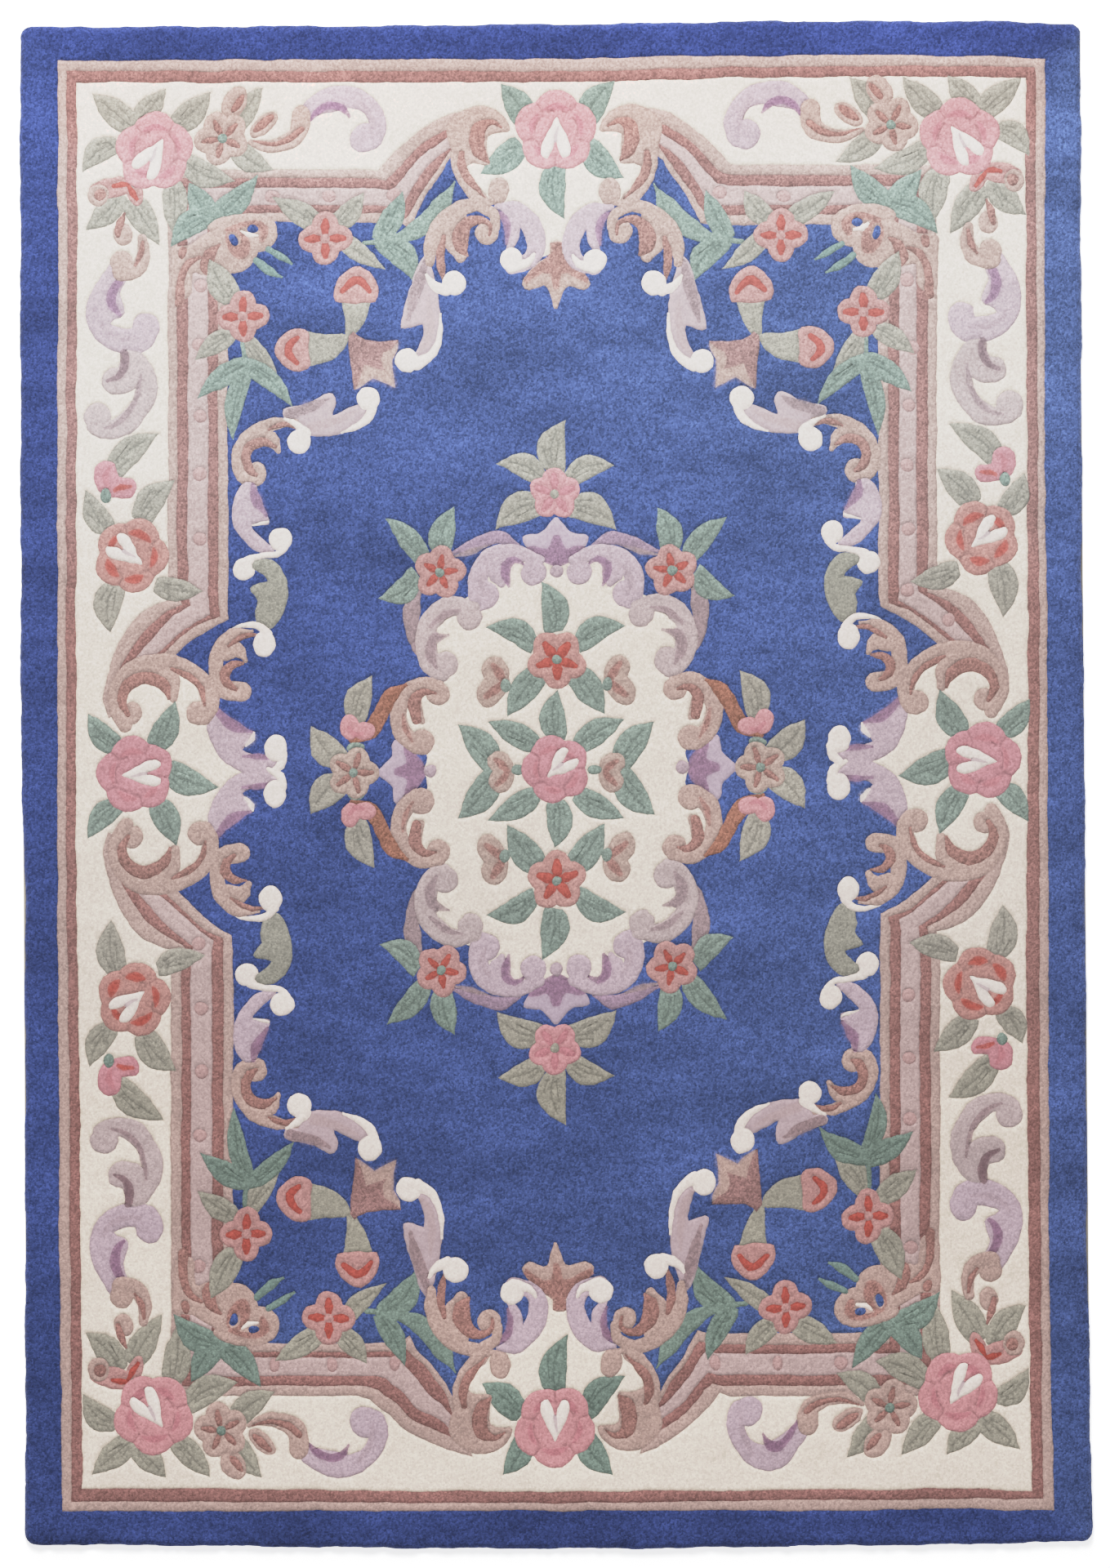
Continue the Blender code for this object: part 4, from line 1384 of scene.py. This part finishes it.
def wool(family):
    """Cut wool pile: matt, faintly bright at its tips, every tuft a little different."""
    material = bpy.data.materials.new(f"wool_{family}")
    material.use_nodes = True
    tree = material.node_tree
    shader = tree.nodes["Principled BSDF"]
    shader.inputs["Roughness"].default_value = 0.95
    shader.inputs["Specular IOR Level"].default_value = 0.15
    shader.inputs["Sheen Weight"].default_value = 0.12
    shader.inputs["Sheen Roughness"].default_value = 0.6
    dye = node(tree, "ShaderNodeVertexColor", layer_name="Dye")
    where = node(tree, "ShaderNodeTexCoord").outputs["Object"]
    fleck, patchy, roughness = LOOKS[family]
    factor, cells = varied(tree, where, fleck, patchy)
    tint = node(tree, "ShaderNodeVectorMath", operation="SCALE")
    tree.links.new(dye.outputs["Color"], tint.inputs[0])
    tree.links.new(factor, tint.inputs["Scale"])
    tree.links.new(tint.outputs[0], shader.inputs["Base Color"])
    bump = node(tree, "ShaderNodeBump", in_Strength=roughness, in_Distance=0.001, invert=True)
    tree.links.new(cells.outputs["Distance"], bump.inputs["Height"])
    tree.links.new(bump.outputs["Normal"], shader.inputs["Normal"])
    return material


THREADS_SCALE = 150.0            # of the waves that stand for warp and weft


def canvas():
    """Plain woven backing cloth."""
    material = bpy.data.materials.new("backing_cloth")
    material.use_nodes = True
    tree = material.node_tree
    shader = tree.nodes["Principled BSDF"]
    shader.inputs["Roughness"].default_value = 0.9
    dye = node(tree, "ShaderNodeVertexColor", layer_name="Dye")
    where = node(tree, "ShaderNodeTexCoord").outputs["Object"]
    across = node(tree, "ShaderNodeTexWave", in_Scale=THREADS_SCALE)
    up = node(tree, "ShaderNodeTexWave", bands_direction="Y", in_Scale=THREADS_SCALE)
    for weave in (across, up):
        tree.links.new(where, weave.inputs["Vector"])
    warp = ranged(tree, across.outputs["Fac"], 0.88, 1.0)
    weft = ranged(tree, up.outputs["Fac"], 0.88, 1.0)
    both = times(tree, warp, weft)
    tint = node(tree, "ShaderNodeVectorMath", operation="SCALE")
    tree.links.new(dye.outputs["Color"], tint.inputs[0])
    tree.links.new(both, tint.inputs["Scale"])
    tree.links.new(tint.outputs[0], shader.inputs["Base Color"])
    return material


# ---------------------------------------------------------------- studio
# Lamps: where each stands, where it points, its side in metres and its power in watts.
LAMPS = {"key": ((-0.6, 3.1, 2.9), (0, 0.1, 0), 2.6, 284.0),
         "fill": ((0.8, -1.8, 4.0), (0, 0, 0), 3.5, 34.0)}
FLOOR_HALF = 6.0
CAMERA_PLACE = (-0.0016, 0.0011, 8.014)
LENS, SENSOR = 139.3, 36.0


def studio():
    """A white floor, soft light a little stronger toward the rug's far end, and a camera straight above."""
    material = bpy.data.materials.new("white_floor")
    material.use_nodes = True
    shader = material.node_tree.nodes["Principled BSDF"]
    shader.inputs["Base Color"].default_value = (0.95, 0.95, 0.95, 1.0)
    shader.inputs["Roughness"].default_value = 0.9
    shader.inputs["Emission Color"].default_value = (1.0, 1.0, 1.0, 1.0)
    shader.inputs["Emission Strength"].default_value = 1.15
    mesh = bpy.data.meshes.new("floor")
    corners = [(x * FLOOR_HALF, y * FLOOR_HALF, 0) for x, y in ((-1, -1), (1, -1), (1, 1), (-1, 1))]
    mesh.from_pydata(corners, [], [(0, 1, 2, 3)])
    mesh.materials.append(material)
    floor = bpy.data.objects.new("floor", mesh)
    bpy.context.scene.collection.objects.link(floor)
    for name, settings in LAMPS.items():
        lamp(name, *settings)
    world = bpy.data.worlds.new("studio")
    world.use_nodes = True
    world.node_tree.nodes["Background"].inputs["Color"].default_value = (1, 1, 1, 1)
    world.node_tree.nodes["Background"].inputs["Strength"].default_value = 0.25
    bpy.context.scene.world = world
    soft_highlights(bpy.context.scene.view_settings)
    camera = bpy.data.cameras.new("camera")
    camera.sensor_width = SENSOR
    camera.lens = LENS
    camera.clip_end = 60.0
    above = bpy.data.objects.new("camera", camera)
    above.location = CAMERA_PLACE
    bpy.context.scene.collection.objects.link(above)
    bpy.context.scene.camera = above


def soft_highlights(view):
    """A plain view whose light tones are held back a little, as a camera does, up to the floor's white."""
    view.view_transform = "Standard"
    view.use_curve_mapping = True
    curves = view.curve_mapping
    brightest = 2.0
    curves.white_level = (brightest, brightest, brightest)
    curve = curves.curves[3]
    for seen, shown in ((0.25, 0.25), (0.45, 0.45), (0.6, 0.575), (0.8, 0.685), (1.0, 0.75), (1.3, 0.805),
                        (1.5, 0.83), (1.85, 0.99)):
        curve.points.new(seen / brightest, shown)
    for point in curve.points:
        point.handle_type = "VECTOR"
    curves.update()


def lamp(name, place, aim, size, power):
    """A soft square lamp that points at a place."""
    light = bpy.data.lights.new(name, "AREA")
    light.size = size
    light.energy = power
    made = bpy.data.objects.new(name, light)
    made.location = place
    made.rotation_euler = (Vector(aim) - Vector(place)).to_track_quat("-Z", "Y").to_euler()
    bpy.context.scene.collection.objects.link(made)


design()
studio()
pieces, rim = build_pile()
backing = build_backing(rim)
